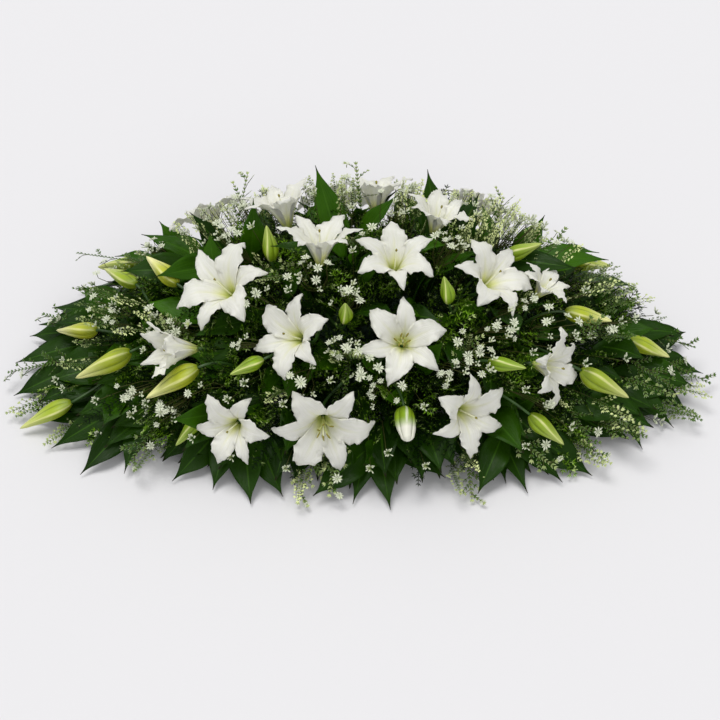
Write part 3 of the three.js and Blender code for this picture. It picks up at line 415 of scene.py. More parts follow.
def closed_sheet(grid, thickness):
    """Points and faces of a closed blade with the given thickness round a grid of points."""
    rows, columns = grid.shape[:2]
    across = np.gradient(grid, axis=1)
    along = np.gradient(grid, axis=0)
    lift = unit(np.cross(across, along)) * thickness[..., None] / 2
    number = np.arange(rows * columns).reshape(rows, columns)
    corners = (number[:-1, :-1], number[:-1, 1:], number[1:, 1:], number[1:, :-1])
    upper = np.stack(corners, -1).reshape(-1, 4)
    lower = upper[:, ::-1] + number.size
    edge = (number[0, :], number[1:, -1], number[-1, -2::-1], number[-2:0:-1, 0])
    rim = np.concatenate(edge)
    after = np.roll(rim, -1)
    sides = np.stack([rim, rim + number.size, after + number.size, after], -1)
    points = np.concatenate([(grid + lift).reshape(-1, 3), (grid - lift).reshape(-1, 3)])
    return points, np.concatenate([upper, lower, sides]).tolist()


def tube(path, radii, sides, up=None):
    """Points and faces of a closed tube. Radii are one for each point of the path, or one for
    each point and side."""
    path = np.array([tuple(p) for p in path], float)
    ahead = unit(np.gradient(path, axis=0))
    along = path[-1] - path[0]
    if up is None:
        up = (0, 0, 1) if abs(along[2]) < 0.8 * np.linalg.norm(along) else (1, 0, 0)
    side = unit(np.cross(ahead, np.asarray(up, float)))
    over = np.cross(side, ahead)
    radii = np.asarray(radii, float)
    if radii.ndim == 1:
        radii = np.repeat(radii[:, None], sides, 1)
    turn = np.linspace(0, 2 * np.pi, sides, endpoint=False)
    ring = side[:, None] * np.cos(turn)[:, None] + over[:, None] * np.sin(turn)[:, None]
    points = (path[:, None] + ring * radii[..., None]).reshape(-1, 3)
    number = np.arange(len(path) * sides).reshape(len(path), sides)
    after = np.roll(number, -1, axis=1)
    walls = np.stack([number[:-1], after[:-1], after[1:], number[1:]], -1).reshape(-1, 4)
    ends = [number[0, ::-1].tolist(), number[-1].tolist()]
    return points, walls.tolist() + ends


def link_object(name, data, collection=None):
    """A new object in the scene, or in a collection of its own."""
    made = bpy.data.objects.new(name, data)
    (collection or bpy.context.scene.collection).objects.link(made)
    return made


def dress(name, made, finishes, slot, node):
    """Links a finished mesh as a piece that rides on the spray and stands for its node."""
    corners = np.empty(3 * len(made.vertices))
    made.vertices.foreach_get("co", corners)
    corners[2::3] = np.maximum(corners[2::3], 0.0002)
    made.vertices.foreach_set("co", corners)
    if not made.materials:
        for finish in finishes:
            made.materials.append(finish)
    piece = link_object(name, made)
    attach(piece, BODY)
    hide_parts(node)


class Bloom:
    """One open lily: where it sits, which way it faces, and how large and open it is."""

    def __init__(self, name):
        x, around, reach, facing, span, self.curl, self.roll = BLOOMS[name]
        self.axis = Vector(facing).normalized()
        self.size = span / LILY["span"]
        self.base = on_dome(x, around, reach) - self.axis * LILY["depth"] * self.size
        self.side = square_to(self.axis)
        self.front = self.axis.cross(self.side)
        self.stamens = name in WITH_STAMENS

    def along(self, height):
        """The point of its axis that lies this high above its base."""
        return self.base + self.axis * height

    def chance(self, i, k=0):
        """A scattered value from 0 to 1 for one of its petals or stamens."""
        return scatter(i, self.roll + k)

    def petal_line(self, curl):
        """A petal's middle line: even shares of its length, the distance from the bloom's axis,
        the height up it, and the slope there."""
        shares = np.linspace(0, 1, 97)
        start = LILY["start_angle"]
        slopes = np.radians(start + (curl - start) * shares ** LILY["curl_power"])
        between = (slopes[1:] + slopes[:-1]) / 2
        stride = LILY["length"] * self.size / len(between)
        out = LILY["throat"] + np.concatenate([[0], np.cumsum(np.sin(between) * stride)])
        height = np.concatenate([[0], np.cumsum(np.cos(between) * stride)])
        return shares, out, height, slopes


# A petal's half width in metres at its stops, for a lily of full size
PETAL_STOPS = (0, 0.12, 0.42, 0.56, 0.7, 0.82, 0.92, 0.975, 1)
WIDE_PETAL = (0.0032, 0.0078, 0.0192, 0.0228, 0.0192, 0.0122, 0.0060, 0.0024, 0.0004)
NARROW_PETAL = (0.0030, 0.0068, 0.0146, 0.0162, 0.0134, 0.0086, 0.0043, 0.0020, 0.0004)
# How far its edges stand up
EDGE_STOPS = (0, 0.42, 0.6, 0.78, 0.92, 1)
EDGE_LIFT = (0, 0.0008, 0.0018, -0.0012, -0.0030, -0.0022)
PETAL_ROWS = 31
PETAL_COLUMNS = 13
# Where along it a petal stops to wrap round the tube, and where it is free
HUG = (0.42, 0.62)
# How high inner petals lie over outer ones
LAYER = 0.0007
TURN = 2 * np.pi


def petal_width(bloom, petal, half, rows):
    """A petal's half width with its outline made a little ragged."""
    ragged = 1 + 0.04 * np.sin(TURN * 6.5 * rows + 5 * bloom.chance(petal, 30))
    ragged += 0.03 * np.sin(TURN * 11 * rows + 7 * bloom.chance(petal, 31))
    return half * (1 + (ragged - 1) * smooth(0.42, 0.6, rows))


def petal_ruffle(bloom, petal, look, rows, columns):
    """How far a petal's rim waves: broad ruffles with fine frills on them, on each side."""
    ruffle = 0
    for sign in (-1, 1):
        phase = 6.28 * bloom.chance(petal, 7 + sign)
        count = look.ruffles * (0.8 + 0.5 * bloom.chance(petal, 11 + sign))
        one_side = np.maximum(sign * columns, 0)
        ruffle = ruffle + np.sin(TURN * count * rows + phase) * one_side**2.2
        fine = np.sin(TURN * look.frills * rows + 2 * phase)
        ruffle = ruffle + 0.6 * fine * one_side**4
    reach = smooth(0.34, 0.55, rows) * (1 - 0.75 * smooth(0.86, 1, rows))
    return ruffle * (reach * look.ruffle * (1 if petal % 2 == 0 else 0.55))


def petal_groove(look, rows, columns):
    """The groove along a petal's middle, between two faint ridges."""
    groove = np.exp(-((columns / 0.1) ** 2)) - 0.6 * np.exp(-(((abs(columns) - 0.25) / 0.13) ** 2))
    return groove * (look.groove * (1 - 0.65 * rows) * smooth(0.05, 0.2, rows))


def add_petal(form, bloom, petal, look):
    """Adds one petal of a lily, worked out as a grid of points in its middle surface."""
    wide = petal % 2 == 0
    rows = (1 - np.linspace(0.992, 0, PETAL_ROWS) ** 1.15)[:, None]
    columns = np.linspace(-1, 1, PETAL_COLUMNS)
    curl = bloom.curl * (1 + LILY["curl_variety"] * (bloom.chance(petal) - 0.5))
    shares, *lines = bloom.petal_line(curl)
    out, height, slope = (np.interp(rows, shares, line) for line in lines)

    turn = math.radians(bloom.roll + 60 * petal)
    axis, side, front = (np.array(way) for way in (bloom.axis, bloom.side, bloom.front))
    radial = side * math.cos(turn) + front * math.sin(turn)
    across = front * math.cos(turn) - side * math.sin(turn)
    up = axis * np.sin(slope) - radial * np.cos(slope)

    lean = LILY["lean"] * bloom.size * (bloom.chance(petal, 1) - 0.5)
    aside = lean * np.interp(rows, (0.42, *LOBE_STOPS, 1), (0, 1 / 3, 2 / 3, 1, 1))
    sweep = look.sweep * bloom.size * (bloom.chance(petal, 40) - 0.5)
    aside = aside + 2 * sweep * smooth(0.45, 1.15, rows) ** 1.4
    twist = [LILY["wave"] * (bloom.chance(petal, k) - 0.5) for k in (2, 3, 4)]
    twist = eased((0, 0.42, *LOBE_STOPS, 1), (0, 0, *twist, 0), rows)

    # Near its foot the petal wraps round the tube; further out it flattens and its rim ruffles
    half = eased(PETAL_STOPS, WIDE_PETAL if wide else NARROW_PETAL, rows) * bloom.size
    hug = 1 - smooth(*HUG, rows)
    radius = out / np.maximum(np.cos(slope), 0.3)
    angle = half * columns / radius
    flat = petal_width(bloom, petal, half, rows) * columns
    sideways = hug * radius * np.sin(angle) + (1 - hug) * flat
    lift = eased(EDGE_STOPS, EDGE_LIFT, rows) * columns**2 + twist * columns
    ruffle = petal_ruffle(bloom, petal, look, rows, columns)
    swell = 0.0011 * np.sin(9 * rows + 5 * bloom.chance(petal, 20)) * (1 - columns**2)
    over = hug * radius * (1 - np.cos(angle))
    over += bloom.size * (lift + ruffle - petal_groove(look, rows, columns))
    over += bloom.size * swell * smooth(0.4, 0.7, rows)
    tip_curl = look.tip_curl * (0.3 + 1.4 * bloom.chance(petal, 50))
    over -= bloom.size * tip_curl * smooth(0.65, 1.1, rows) ** 1.5
    over += LAYER if wide else -LAYER

    centre = np.array(bloom.base) + axis * height + radial * out + across * aside
    grid = centre[:, None] + across * sideways[..., None] + up[:, None] * over[..., None]
    thickness = look.thickness * (1 - 0.55 * columns**2) * (1 - 0.45 * rows)
    form.add_sheet(grid, thickness, columns, rows, bloom.chance(petal, 5))


def lay_petals(bloom, look):
    """All six petals of a lily: three wide inner ones over three narrow outer ones."""
    form = Form()
    for petal in range(6):
        add_petal(form, bloom, petal, look)
    return form


# The finishes of a stalk's mesh, in order
STEM, BUD, STYLE, ANTHER = range(4)
BUD_STOPS = (0, 0.04, 0.12, 0.27, 0.42, 0.6, 0.8, 0.95, 1)
BUD_SWELL = (0.34, 0.56, 0.82, 1.04, 0.99, 0.76, 0.44, 0.19, 0.05)
PLUMP_SWELL = (0.4, 0.66, 0.88, 1.02, 1.04, 0.96, 0.75, 0.47, 0.16)
# How much plumper two buds are than the construction's
PLUMP = {"middle_small": 1.1, "low_middle": 1.25}
# How high a lily's style reaches
STYLE_TOP = 0.064


def round_flow(path, sides, tone):
    """The flow of a tube: the share of the way round it and along it."""
    along = np.repeat(np.linspace(0, 1, len(path)), sides)
    around = np.tile(np.linspace(0, 1, sides, endpoint=False), len(path))
    return np.stack([around, along, np.full(len(along), tone)], -1)


def add_tube(form, path, radii, sides, tone=0.5, finish=0):
    """Adds a closed tube to a form."""
    points, faces = tube(path, radii, sides)
    form.add(points, faces, round_flow(path, sides, tone), finish)


def add_heart(form, bloom):
    """A lily's style with its three-lobed stigma, and the stamens where they show."""
    size = bloom.size
    top = STYLE_TOP * size
    style = [bloom.along(h) for h in np.linspace(0.008, top, 9)]
    add_tube(form, style, np.linspace(0.0013, 0.0006, 9), 8, 0.3, STYLE)
    knob = [bloom.along(top + h) for h in (-0.0022, -0.0008, 0.001, 0.0024, 0.003)]
    lobes = 1 + 0.3 * np.cos(3 * np.linspace(0, TURN, 12, endpoint=False))
    radii = np.outer((0.0007, 0.0011, 0.0015, 0.0011, 0.0004), lobes)
    add_tube(form, knob, radii, 12, 0.9, ANTHER)
    for i in range(6 if bloom.stamens else 0):
        out = turned(bloom.side, bloom.axis, bloom.roll + 60 * (i + 0.5))
        foot = bloom.along(0.014 * size)
        rise = 0.044 + 0.012 * bloom.chance(i, 60)
        tip = bloom.along(rise * size) + out * (0.007 + 0.007 * bloom.chance(i, 61)) * size
        middle = foot.lerp(tip, 0.5) - out * 0.004 * size
        path = [bend(foot, middle, tip, t) for t in np.linspace(0, 1, 9)]
        add_tube(form, path, np.linspace(0.0013, 0.0009, 9), 6, 1.0, STYLE)
        swing = bloom.axis.cross(out) * 1.6 * (bloom.chance(i) - 0.5)
        along = (bloom.axis * 0.6 + out * 0.7 + swing).normalized()
        pod = [tip + along * 0.005 * size * t for t in np.linspace(-1, 1, 9)]
        add_tube(form, pod, 0.0012 * np.sqrt(1.04 - np.linspace(-1, 1, 9) ** 2), 8, 0.5, ANTHER)


def ridge_turn(ahead):
    """Where round a bud the side lies that faces the room."""
    up = Vector((0, 0, 1)) if abs(ahead.z) < 0.8 else Vector((1, 0, 0))
    side = ahead.cross(up).normalized()
    over = side.cross(ahead)
    return math.atan2(-FRONT_VIEW.dot(over), -FRONT_VIEW.dot(side))


BUD_SIDES = 36
BUD_RINGS = 22


def add_bud(form, foot, tip, half, seed, tone, swell):
    """A closed bud of three long folds, each with a ridge, drawn out to a blunt tip."""
    stops = np.linspace(0, 1, BUD_RINGS)[:, None]
    path = [foot.lerp(tip, t) for t in stops[:, 0]]
    turn = np.linspace(0, TURN, BUD_SIDES, endpoint=False)
    shown = ridge_turn((tip - foot).normalized()) + 0.22 + 0.7 * (scatter(seed, 3) - 0.5)
    third = (turn + 0.5 * stops - shown) % (TURN / 3)
    from_ridge = np.minimum(third, TURN / 3 - third)
    from_seam = np.pi / 3 - from_ridge
    ridge = 0.09 * np.exp(-((from_ridge / 0.12) ** 2)) + 0.15 * np.cos(3 * from_ridge)
    seam = 0.15 * np.exp(-((from_seam / 0.15) ** 2)) * smooth(0.1, 0.35, stops)
    radii = half * eased(BUD_STOPS, swell, stops) * (1 + ridge - seam)
    points, faces = tube(path, radii, BUD_SIDES)
    flow = round_flow(path, BUD_SIDES, tone)
    flow[:, 0] = (from_ridge / (np.pi / 3)).ravel()
    form.add(points, faces, flow, BUD)


def build_stalk(name):
    """A lily stalk with its side stalks, its closed buds and the hearts of its open blooms."""
    heads, blooms, buds = STALKS[name]
    form = Form()
    root = root_for(Vector(heads))
    top = root.lerp(Vector(heads), FORKS["first"])
    shares = np.linspace(0, 1, 12)
    girth = STEM_RADIUS["lily"] * (0.94 + 0.05 * np.cos(np.arange(12) * 2.1))
    add_tube(form, [root.lerp(top, t) for t in shares], girth, 10, 0.4, STEM)
    for i, kind in enumerate(blooms):
        bloom = Bloom(kind)
        fork = root.lerp(top, 1 - FORKS["stride"] * i)
        entry = bloom.along(-PEDICEL["entry"])
        swing = bloom.along(-PEDICEL["swing"] * (bloom.base - fork).length)
        path = [bend(fork, swing, entry, t) for t in shares] + [bloom.along(0.004)]
        swell = np.append(np.full(12, PEDICEL["radius"] * 0.8), PEDICEL["radius"] * 1.15)
        add_tube(form, path, swell, 10, 0.6, STEM)
        add_heart(form, bloom)
    for i, kind in enumerate(buds, len(blooms)):
        foot, tip, half, ripeness = BUDS[kind]
        foot, tip = Vector(foot), Vector(tip)
        ahead = (tip - foot).normalized()
        fork = root.lerp(top, 1 - FORKS["stride"] * i)
        swing = foot - ahead * BUD_PEDICEL["swing"] * (foot - fork).length
        end = foot + ahead * BUD_PEDICEL["into"]
        path = [bend(fork, swing, end, t) for t in shares]
        add_tube(form, path, np.full(12, BUD_PEDICEL["radius"]), 8, 0.6, STEM)
        swell = PLUMP_SWELL if kind == "low_middle" else BUD_SWELL
        seed = i - len(blooms) + len(name)
        add_bud(form, foot, tip, half * PLUMP.get(kind, 1), seed, ripeness, swell)
    return form


class Marks:
    """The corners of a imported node, for finding how the construction posed each blade."""

    def __init__(self, node):
        vertices = frame["nodes"][node].data.vertices
        self.tree = KDTree(len(vertices))
        for n, vertex in enumerate(vertices):
            self.tree.insert(vertex.co, n)
        self.tree.balance()

    def hold(self, places):
        """Whether the node has a corner at each of the places."""
        return all(self.tree.find(place)[2] < MATCH for place in places)


def posed(foot, tip, facing, turn, lift, swing):
    """The tip of a blade in one of its poses, and the way up from its face."""
    ahead = tip - foot
    side = ahead.cross(facing).normalized()
    up = side.cross(ahead).normalized()
    end = foot + turned(ahead, up, swing) + up * lift
    return end, turned(up, (end - foot).normalized(), turn)


def poses_of(growth):
    """Each foot, lift and swing that the construction may have given a side growth."""
    _, _, root, place, share = growth
    for slide, lift, swing in product(SLIDES, LIFTS, SWINGS):
        yield root.lerp(place, share + slide), lift, swing


def find_pose(marks, growth, turn, corners):
    """The foot, tip and way up of the blade whose tip and other corners are packed ones."""
    tip = growth[1]
    facing = outward_at(tip)
    for foot, lift, swing in poses_of(growth):
        if marks.hold([posed(foot, tip, facing, turn, lift, swing)[0]]):
            for twist in TWISTS:
                end, up = posed(foot, tip, facing, turn + twist, lift, swing)
                if marks.hold(corners(foot, end, up)):
                    return foot, end, up
    return None


def stem_of(heads, growth):
    """The root of a stem and the share of the way to its place that it reaches."""
    place = Vector(heads)
    return root_for(place), place, max(growth) + GROWTH["spare"]


def growths(plan, growth):
    """Each tip of a stem's side growths, with the root, the place and the share where it starts."""
    heads, tips = plan
    root, place, _ = stem_of(heads, growth)
    for i, tip in enumerate(tips):
        share = growth[0] + (growth[1] - growth[0]) * i / (len(tips) - 1)
        yield i, Vector(tip), root, place, share


def nearest(stems, place):
    """The name of the stem that heads nearest to a place."""
    return min(stems, key=lambda name: (Vector(stems[name][0]) - place).length)


def find_leaves(name, order):
    """Every leaf of a branch as the construction posed it."""
    marks = Marks(f"leaves_{name}")
    for growth in growths(BRANCHES[name], GROWTH["leaf"]):
        i, tip = growth[:2]
        turn = LEAF["turn"] * (scatter(i, order) - 0.5)
        long, half = (
            size * (1 + LEAF["variety"] * (scatter(i, order + k) - 0.5))
            for size, k in ((LEAF["length"], 20), (LEAF["half"], 40))
        )

        def blade_from(foot):
            return max(1 - long / (tip - foot).length, LEAF["shortest_stalk"])

        def corners(foot, end, up):
            return widest_corners(foot, end, up, blade_from(foot), half)

        found = find_pose(marks, growth, turn, corners)
        if found:
            foot, end, up = found
            yield i, (foot, end, shown_up(foot, end, up), blade_from(foot), half)


def shown_up(foot, tip, up):
    """The way up from a leaf, turned a little towards the room where it grows in front."""
    share = LEAF_SHOWN * max(0, min(1, 1.6 - tip.y / 0.12))
    ahead = (tip - foot).normalized()
    side = ahead.cross(up - FRONT_VIEW * share)
    return side.cross(ahead).normalized()


def leaf_middle(foot, tip, up):
    """Where a leaf's arc is drawn towards."""
    return foot.lerp(tip, LEAF["arch"]) + up * LEAF["sag"]


def widest_corners(foot, tip, up, blade, half):
    """The two edge corners of a packed leaf at its widest place."""
    middle = leaf_middle(foot, tip, up)
    stops = [blade] + [blade + (1 - blade) * stop for stop in LEAF["stops"]]
    _, (place, _, side, over), _ = frames_along([bend(foot, middle, tip, t) for t in stops], up)
    return [place + side * sign * half + over * LEAF["fold"] * half for sign in (-1, 1)]


LEAF_SHOWN = 0.7
LEAF_THICKNESS = 0.0009
# A leaf's width at its stops, in shares of its half width
LEAF_STOPS = (0, 0.05, 0.14, 0.3, 0.48, 0.64, 0.77, 0.86, 0.93, 1)
LEAF_OUTLINE = (0.06, 0.3, 0.7, 1.02, 0.98, 0.74, 0.4, 0.17, 0.06, 0.015)
# How many rows, columns and stalk rings a leaf has, on the branches and deep inside
FINE_CUTS = (26, 11, 6)
COARSE_CUTS = (9, 5, 3)


def add_leaf(form, leaf, seed, cuts):
    """A glossy leaf on its stalk: folded along the midrib, a little waved, with a drip tip."""
    foot, tip, up, blade, half = leaf
    middle = leaf_middle(foot, tip, up)
    stalk = [bend(foot, middle, tip, t) for t in np.linspace(0, blade + 0.02, cuts[2])]
    add_tube(form, stalk, np.linspace(1, 0.75, cuts[2]) * LEAF["stalk"], 6, 0.4)

    rows = np.linspace(0, 1, cuts[0])[:, None]
    columns = np.linspace(-1, 1, cuts[1])
    places = [bend(foot, middle, tip, blade + (1 - blade) * t) for t in rows[:, 0]]
    frames = frames_along(places, up)
    place, _, side, over = (np.array([tuple(f[k]) for f in frames]) for k in range(4))
    wide = half * eased(LEAF_STOPS, LEAF_OUTLINE, rows)
    raise_by = LEAF["fold"] * wide * abs(columns) ** 1.35
    for sign in (-1, 1):
        phase = 6.28 * scatter(seed, 30 + sign)
        wave = np.sin(TURN * (1.1 + scatter(seed, 40 + sign)) * rows + phase)
        raise_by = raise_by + 0.16 * wide * wave * np.maximum(sign * columns, 0) ** 1.6
    raise_by = raise_by - 0.0005 * np.exp(-((columns / 0.08) ** 2))
    curl = 0.008 * np.sin(np.pi * rows) * (scatter(seed, 50) - 0.3)
    grid = place[:, None] + side[:, None] * (wide * columns)[..., None]
    grid = grid + over[:, None] * (raise_by + curl)[..., None]
    thickness = LEAF_THICKNESS * (1 - 0.5 * columns**2) * (1 - 0.4 * rows)
    form.add_sheet(grid, thickness, columns, rows, scatter(seed, 60))


def build_branch(name, order):
    """A leafy branch: its stem and every leaf."""
    form = Form()
    root, place, reach = stem_of(BRANCHES[name][0], GROWTH["leaf"])
    path = [root.lerp(place, reach * t) for t in np.linspace(0, 1, 8)]
    add_tube(form, path, np.linspace(1, 0.6, 8) * STEM_RADIUS["leafy"], 8, 0.3)
    for i, leaf in find_leaves(name, order):
        add_leaf(form, leaf, 10 * order + i, FINE_CUTS)
    return form


def new_tree(name, **sizes):
    """An empty Geometry Nodes tree with its named inputs, and its group input's sockets."""
    tree = bpy.data.node_groups.new(name, "GeometryNodeTree")
    inputs = {"Geometry": "Geometry", **sizes, "Seed": "Int", "Finish": "Material"}
    for label, kind in inputs.items():
        label = label.replace("_", " ")
        tree.interface.new_socket(label, in_out="INPUT", socket_type=f"NodeSocket{kind}")
    tree.interface.new_socket("Geometry", in_out="OUTPUT", socket_type="NodeSocketGeometry")
    return tree, tree.nodes.new("NodeGroupInput").outputs


def add_node(tree, kind, inputs, **settings):
    """A new node with its settings, and its inputs linked or set by name or number."""
    node = tree.nodes.new(kind)
    for setting, value in settings.items():
        setattr(node, setting, value)
    for socket, value in inputs.items():
        if isinstance(value, bpy.types.NodeSocket):
            tree.links.new(value, node.inputs[socket])
        else:
            node.inputs[socket].default_value = value
    return node.outputs


def read_attribute(tree, name, kind="FLOAT"):
    """A named attribute of the geometry."""
    node = add_node(tree, "GeometryNodeInputNamedAttribute", {"Name": name}, data_type=kind)
    return node["Attribute"]


def add_math(tree, operation, first, second):
    """A sum, product or comparison of two values."""
    return add_node(tree, "ShaderNodeMath", {0: first, 1: second}, operation=operation)["Value"]


def add_chance(tree, least, most, seed):
    """A random value for each point."""
    inputs = {2: least, 3: most, "Seed": seed}
    return add_node(tree, "FunctionNodeRandomValue", inputs, data_type="FLOAT")[1]


def add_curves(tree, mesh):
    """The curves along a mesh's edges."""
    return add_node(tree, "GeometryNodeMeshToCurve", {"Mesh": mesh})["Curve"]


def add_heading(tree, ahead):
    """The turn that points +X ahead, with +Z along the attribute facing."""
    axes = {"Primary Axis": ahead, "Secondary Axis": read_attribute(tree, "facing", "FLOAT_VECTOR")}
    settings = {"primary_axis": "X", "secondary_axis": "Z"}
    return add_node(tree, "FunctionNodeAxesToRotation", axes, **settings)["Rotation"]


def add_copies(tree, **inputs):
    """Copies of an instance on points."""
    inputs = {label.replace("_", " "): value for label, value in inputs.items()}
    return add_node(tree, "GeometryNodeInstanceOnPoints", inputs)["Instances"]


def add_stems(tree, curves, thickness, sides):
    """Stems along curves, half as thick at their ends."""
    factor = add_node(tree, "GeometryNodeSplineParameter", {})["Factor"]
    taper = add_math(tree, "SUBTRACT", 1.0, add_math(tree, "MULTIPLY", factor, 0.5))
    girth = add_node(tree, "GeometryNodeSetCurveRadius", {"Curve": curves, "Radius": taper})
    circle = {"Resolution": sides, "Radius": thickness}
    profile = add_node(tree, "GeometryNodeCurvePrimitiveCircle", circle)
    inputs = {"Curve": girth["Curve"], "Profile Curve": profile["Curve"], "Fill Caps": True}
    return add_node(tree, "GeometryNodeCurveToMesh", inputs)["Mesh"]


def end_tree(tree, shapes, finish):
    """Ends a tree: its shapes joined, made real and given their finish."""
    joined = tree.nodes.new("GeometryNodeJoinGeometry")
    for shape in reversed(shapes):
        tree.links.new(shape, joined.inputs["Geometry"])
    real = add_node(tree, "GeometryNodeRealizeInstances", {"Geometry": joined.outputs["Geometry"]})
    inputs = {"Geometry": real["Geometry"], "Material": finish}
    finished = add_node(tree, "GeometryNodeSetMaterial", inputs)
    output = tree.nodes.new("NodeGroupOutput")
    tree.links.new(finished["Geometry"], output.inputs["Geometry"])
    return tree


def leafy_twig_tree():
    """Geometry Nodes that put pairs of leaflets, and one at the end, on every twig of a mesh
    of edges. The attribute facing gives the way up from the leaflets' faces."""
    tree, given = new_tree(
        "Leafy twigs", Leaflet="Object", Leaflet_Spacing="Float", Leaflet_Size="Float",
        Leaflet_Angle="Float", Twig_Thickness="Float",
    )
    curves = add_curves(tree, given["Geometry"])
    inputs = {"Curve": curves, "Length": given["Leaflet Spacing"]}
    places = add_node(tree, "GeometryNodeResampleCurve", inputs, mode="LENGTH")["Curve"]
    leaflet = add_node(tree, "GeometryNodeObjectInfo", {"Object": given["Leaflet"]})["Geometry"]
    ahead = add_heading(tree, add_node(tree, "GeometryNodeInputTangent", {})["Tangent"])
    own = add_chance(tree, 0.75, 1.15, given["Seed"])
    size = add_math(tree, "MULTIPLY", own, given["Leaflet Size"])
    first, last = (
        add_node(tree, "GeometryNodeCurveEndpointSelection", {"Start Size": start, "End Size": end})[0]
        for start, end in ((1, 0), (0, 1))
    )
    inner = add_node(tree, "FunctionNodeBooleanMath", {0: first}, operation="NOT")[0]
    shapes = [add_stems(tree, curves, given["Twig Thickness"], 3)]
    for sign in (-1, 0, 1):
        angle = add_math(tree, "MULTIPLY", given["Leaflet Angle"], float(sign))
        euler = add_node(tree, "ShaderNodeCombineXYZ", {"Z": angle})["Vector"]
        turn = add_node(tree, "FunctionNodeEulerToRotation", {"Euler": euler})["Rotation"]
        inputs = {"Rotation": ahead, "Rotate By": turn}
        way = add_node(tree, "FunctionNodeRotateRotation", inputs, rotation_space="LOCAL")
        shapes.append(add_copies(
            tree, Points=places, Selection=inner if sign else last, Instance=leaflet,
            Rotation=way["Rotation"], Scale=size,
        ))
    return end_tree(tree, shapes, given["Finish"])


def set_out_tree():
    """Geometry Nodes that set out stock, such as sprigs or florets, on a mesh's loose points,
    and lay stems along its edges. The attributes ahead and facing turn each one, reach sizes
    it, and kind says which of the stock it is, or -1 for a stem's own points."""
    tree, given = new_tree(
        "Set out", Stock="Collection", Stem_Thickness="Float", Size_Variation="Float")
    kind = read_attribute(tree, "kind", "INT")
    inputs = {"Collection": given["Stock"], "Separate Children": True, "Reset Children": True}
    stock = add_node(tree, "GeometryNodeCollectionInfo", inputs)["Instances"]
    least = add_math(tree, "SUBTRACT", 1.0, given["Size Variation"])
    most = add_math(tree, "ADD", 1.0, given["Size Variation"])
    own = add_chance(tree, least, most, given["Seed"])
    laid = add_copies(
        tree, Points=given["Geometry"], Selection=add_math(tree, "GREATER_THAN", kind, -0.5),
        Instance=stock, Pick_Instance=True, Instance_Index=kind,
        Rotation=add_heading(tree, read_attribute(tree, "ahead", "FLOAT_VECTOR")),
        Scale=add_math(tree, "MULTIPLY", own, read_attribute(tree, "reach")),
    )
    stems = add_stems(tree, add_curves(tree, given["Geometry"]), given["Stem Thickness"], 5)
    return end_tree(tree, [stems, laid], given["Finish"])


def run_tree(name, made, tree, values):
    """The plain mesh that a Geometry Nodes tree makes of another mesh."""
    carrier = bpy.data.objects.new(name, made)
    bpy.context.scene.collection.objects.link(carrier)
    modifier = carrier.modifiers.new("Growth", "NODES")
    modifier.node_group = tree
    inputs = {
        item.name: item.identifier
        for item in tree.interface.items_tree
        if item.item_type == "SOCKET" and item.in_out == "INPUT"
    }
    for label, value in values.items():
        modifier[inputs[label]] = value
    graph = bpy.context.evaluated_depsgraph_get()
    evaluated = carrier.evaluated_get(graph)
    grown = bpy.data.meshes.new_from_object(
        evaluated, preserve_all_data_layers=True, depsgraph=graph)
    bpy.data.objects.remove(carrier)
    if len(grown.polygons) == 0:
        raise RuntimeError(f"{name} came out empty")
    for attribute in ("ahead", "facing", "reach", "kind"):
        if attribute in grown.attributes:
            grown.attributes.remove(grown.attributes[attribute])
    grown.name = name
    return grown


def put_attributes(made, **columns):
    """Gives a mesh's points the named attributes."""
    for name, values in columns.items():
        values = np.asarray(values)
        if values.ndim == 2:
            attribute = made.attributes.new(name, "FLOAT_VECTOR", "POINT")
            attribute.data.foreach_set("vector", values.astype(np.float32).ravel())
        else:
            kind = "INT" if values.dtype.kind == "i" else "FLOAT"
            attribute = made.attributes.new(name, kind, "POINT")
            attribute.data.foreach_set("value", values)


def plain_mesh(name, points, edges, faces, **columns):
    """A mesh with the given attributes."""
    made = bpy.data.meshes.new(name)
    made.from_pydata([tuple(p) for p in points], edges, faces)
    put_attributes(made, **columns)
    return made


class Lines:
    """Gathers lines of edges and loose points, each point with its named values."""

    names = ("facing", "share")

    def __init__(self):
        self.points = []
        self.edges = []
        self.columns = {name: [] for name in self.names}

    def note(self, place, *row):
        """Adds a point and what belongs to it."""
        self.points.append(place)
        for column, value in zip(self.columns.values(), row):
            column.append(value)

    def join(self, count):
        """Joins the last points in a line."""
        first = len(self.points) - count
        self.edges.extend((n, n + 1) for n in range(first, first + count - 1))

    def add(self, path, facing, share=(0.0, 1.0)):
        """Adds one twig. Share runs from 0 at a sprig's foot to 1 at its tips."""
        for place, part in zip(path, np.linspace(*share, len(path))):
            self.note(place, tuple(facing), part)
        self.join(len(path))

    def mesh(self, name):
        """The lines and points as one mesh."""
        return plain_mesh(name, self.points, self.edges, [], **self.columns)


class Planting(Lines):
    """Gathers stems, and what is set out on them, for one piece of greenery."""

    names = ("ahead", "facing", "reach", "kind", "shade")

    def put(self, place, ahead, facing, reach, kind, shade):
        """Adds one thing that is set out."""
        self.note(place, tuple(ahead), tuple(facing), reach, kind, shade)

    def stem(self, path):
        """Adds a stem."""
        for place in path:
            self.put(place, (1, 0, 0), (0, 0, 1), 1.0, -1, 0.3)
        self.join(len(path))


def join_meshes(name, *parts):
    """One mesh of several, with their attributes kept."""
    carriers = [link_object(name, part) for part in parts]
    with bpy.context.temp_override(
        active_object=carriers[0], selected_editable_objects=carriers, selected_objects=carriers,
    ):
        bpy.ops.object.join()
    joined = carriers[0].data
    bpy.data.objects.remove(carriers[0])
    return joined


# The second pair of a packed frond's leaflets tells which way it is turned
FROND_PAIR = 2
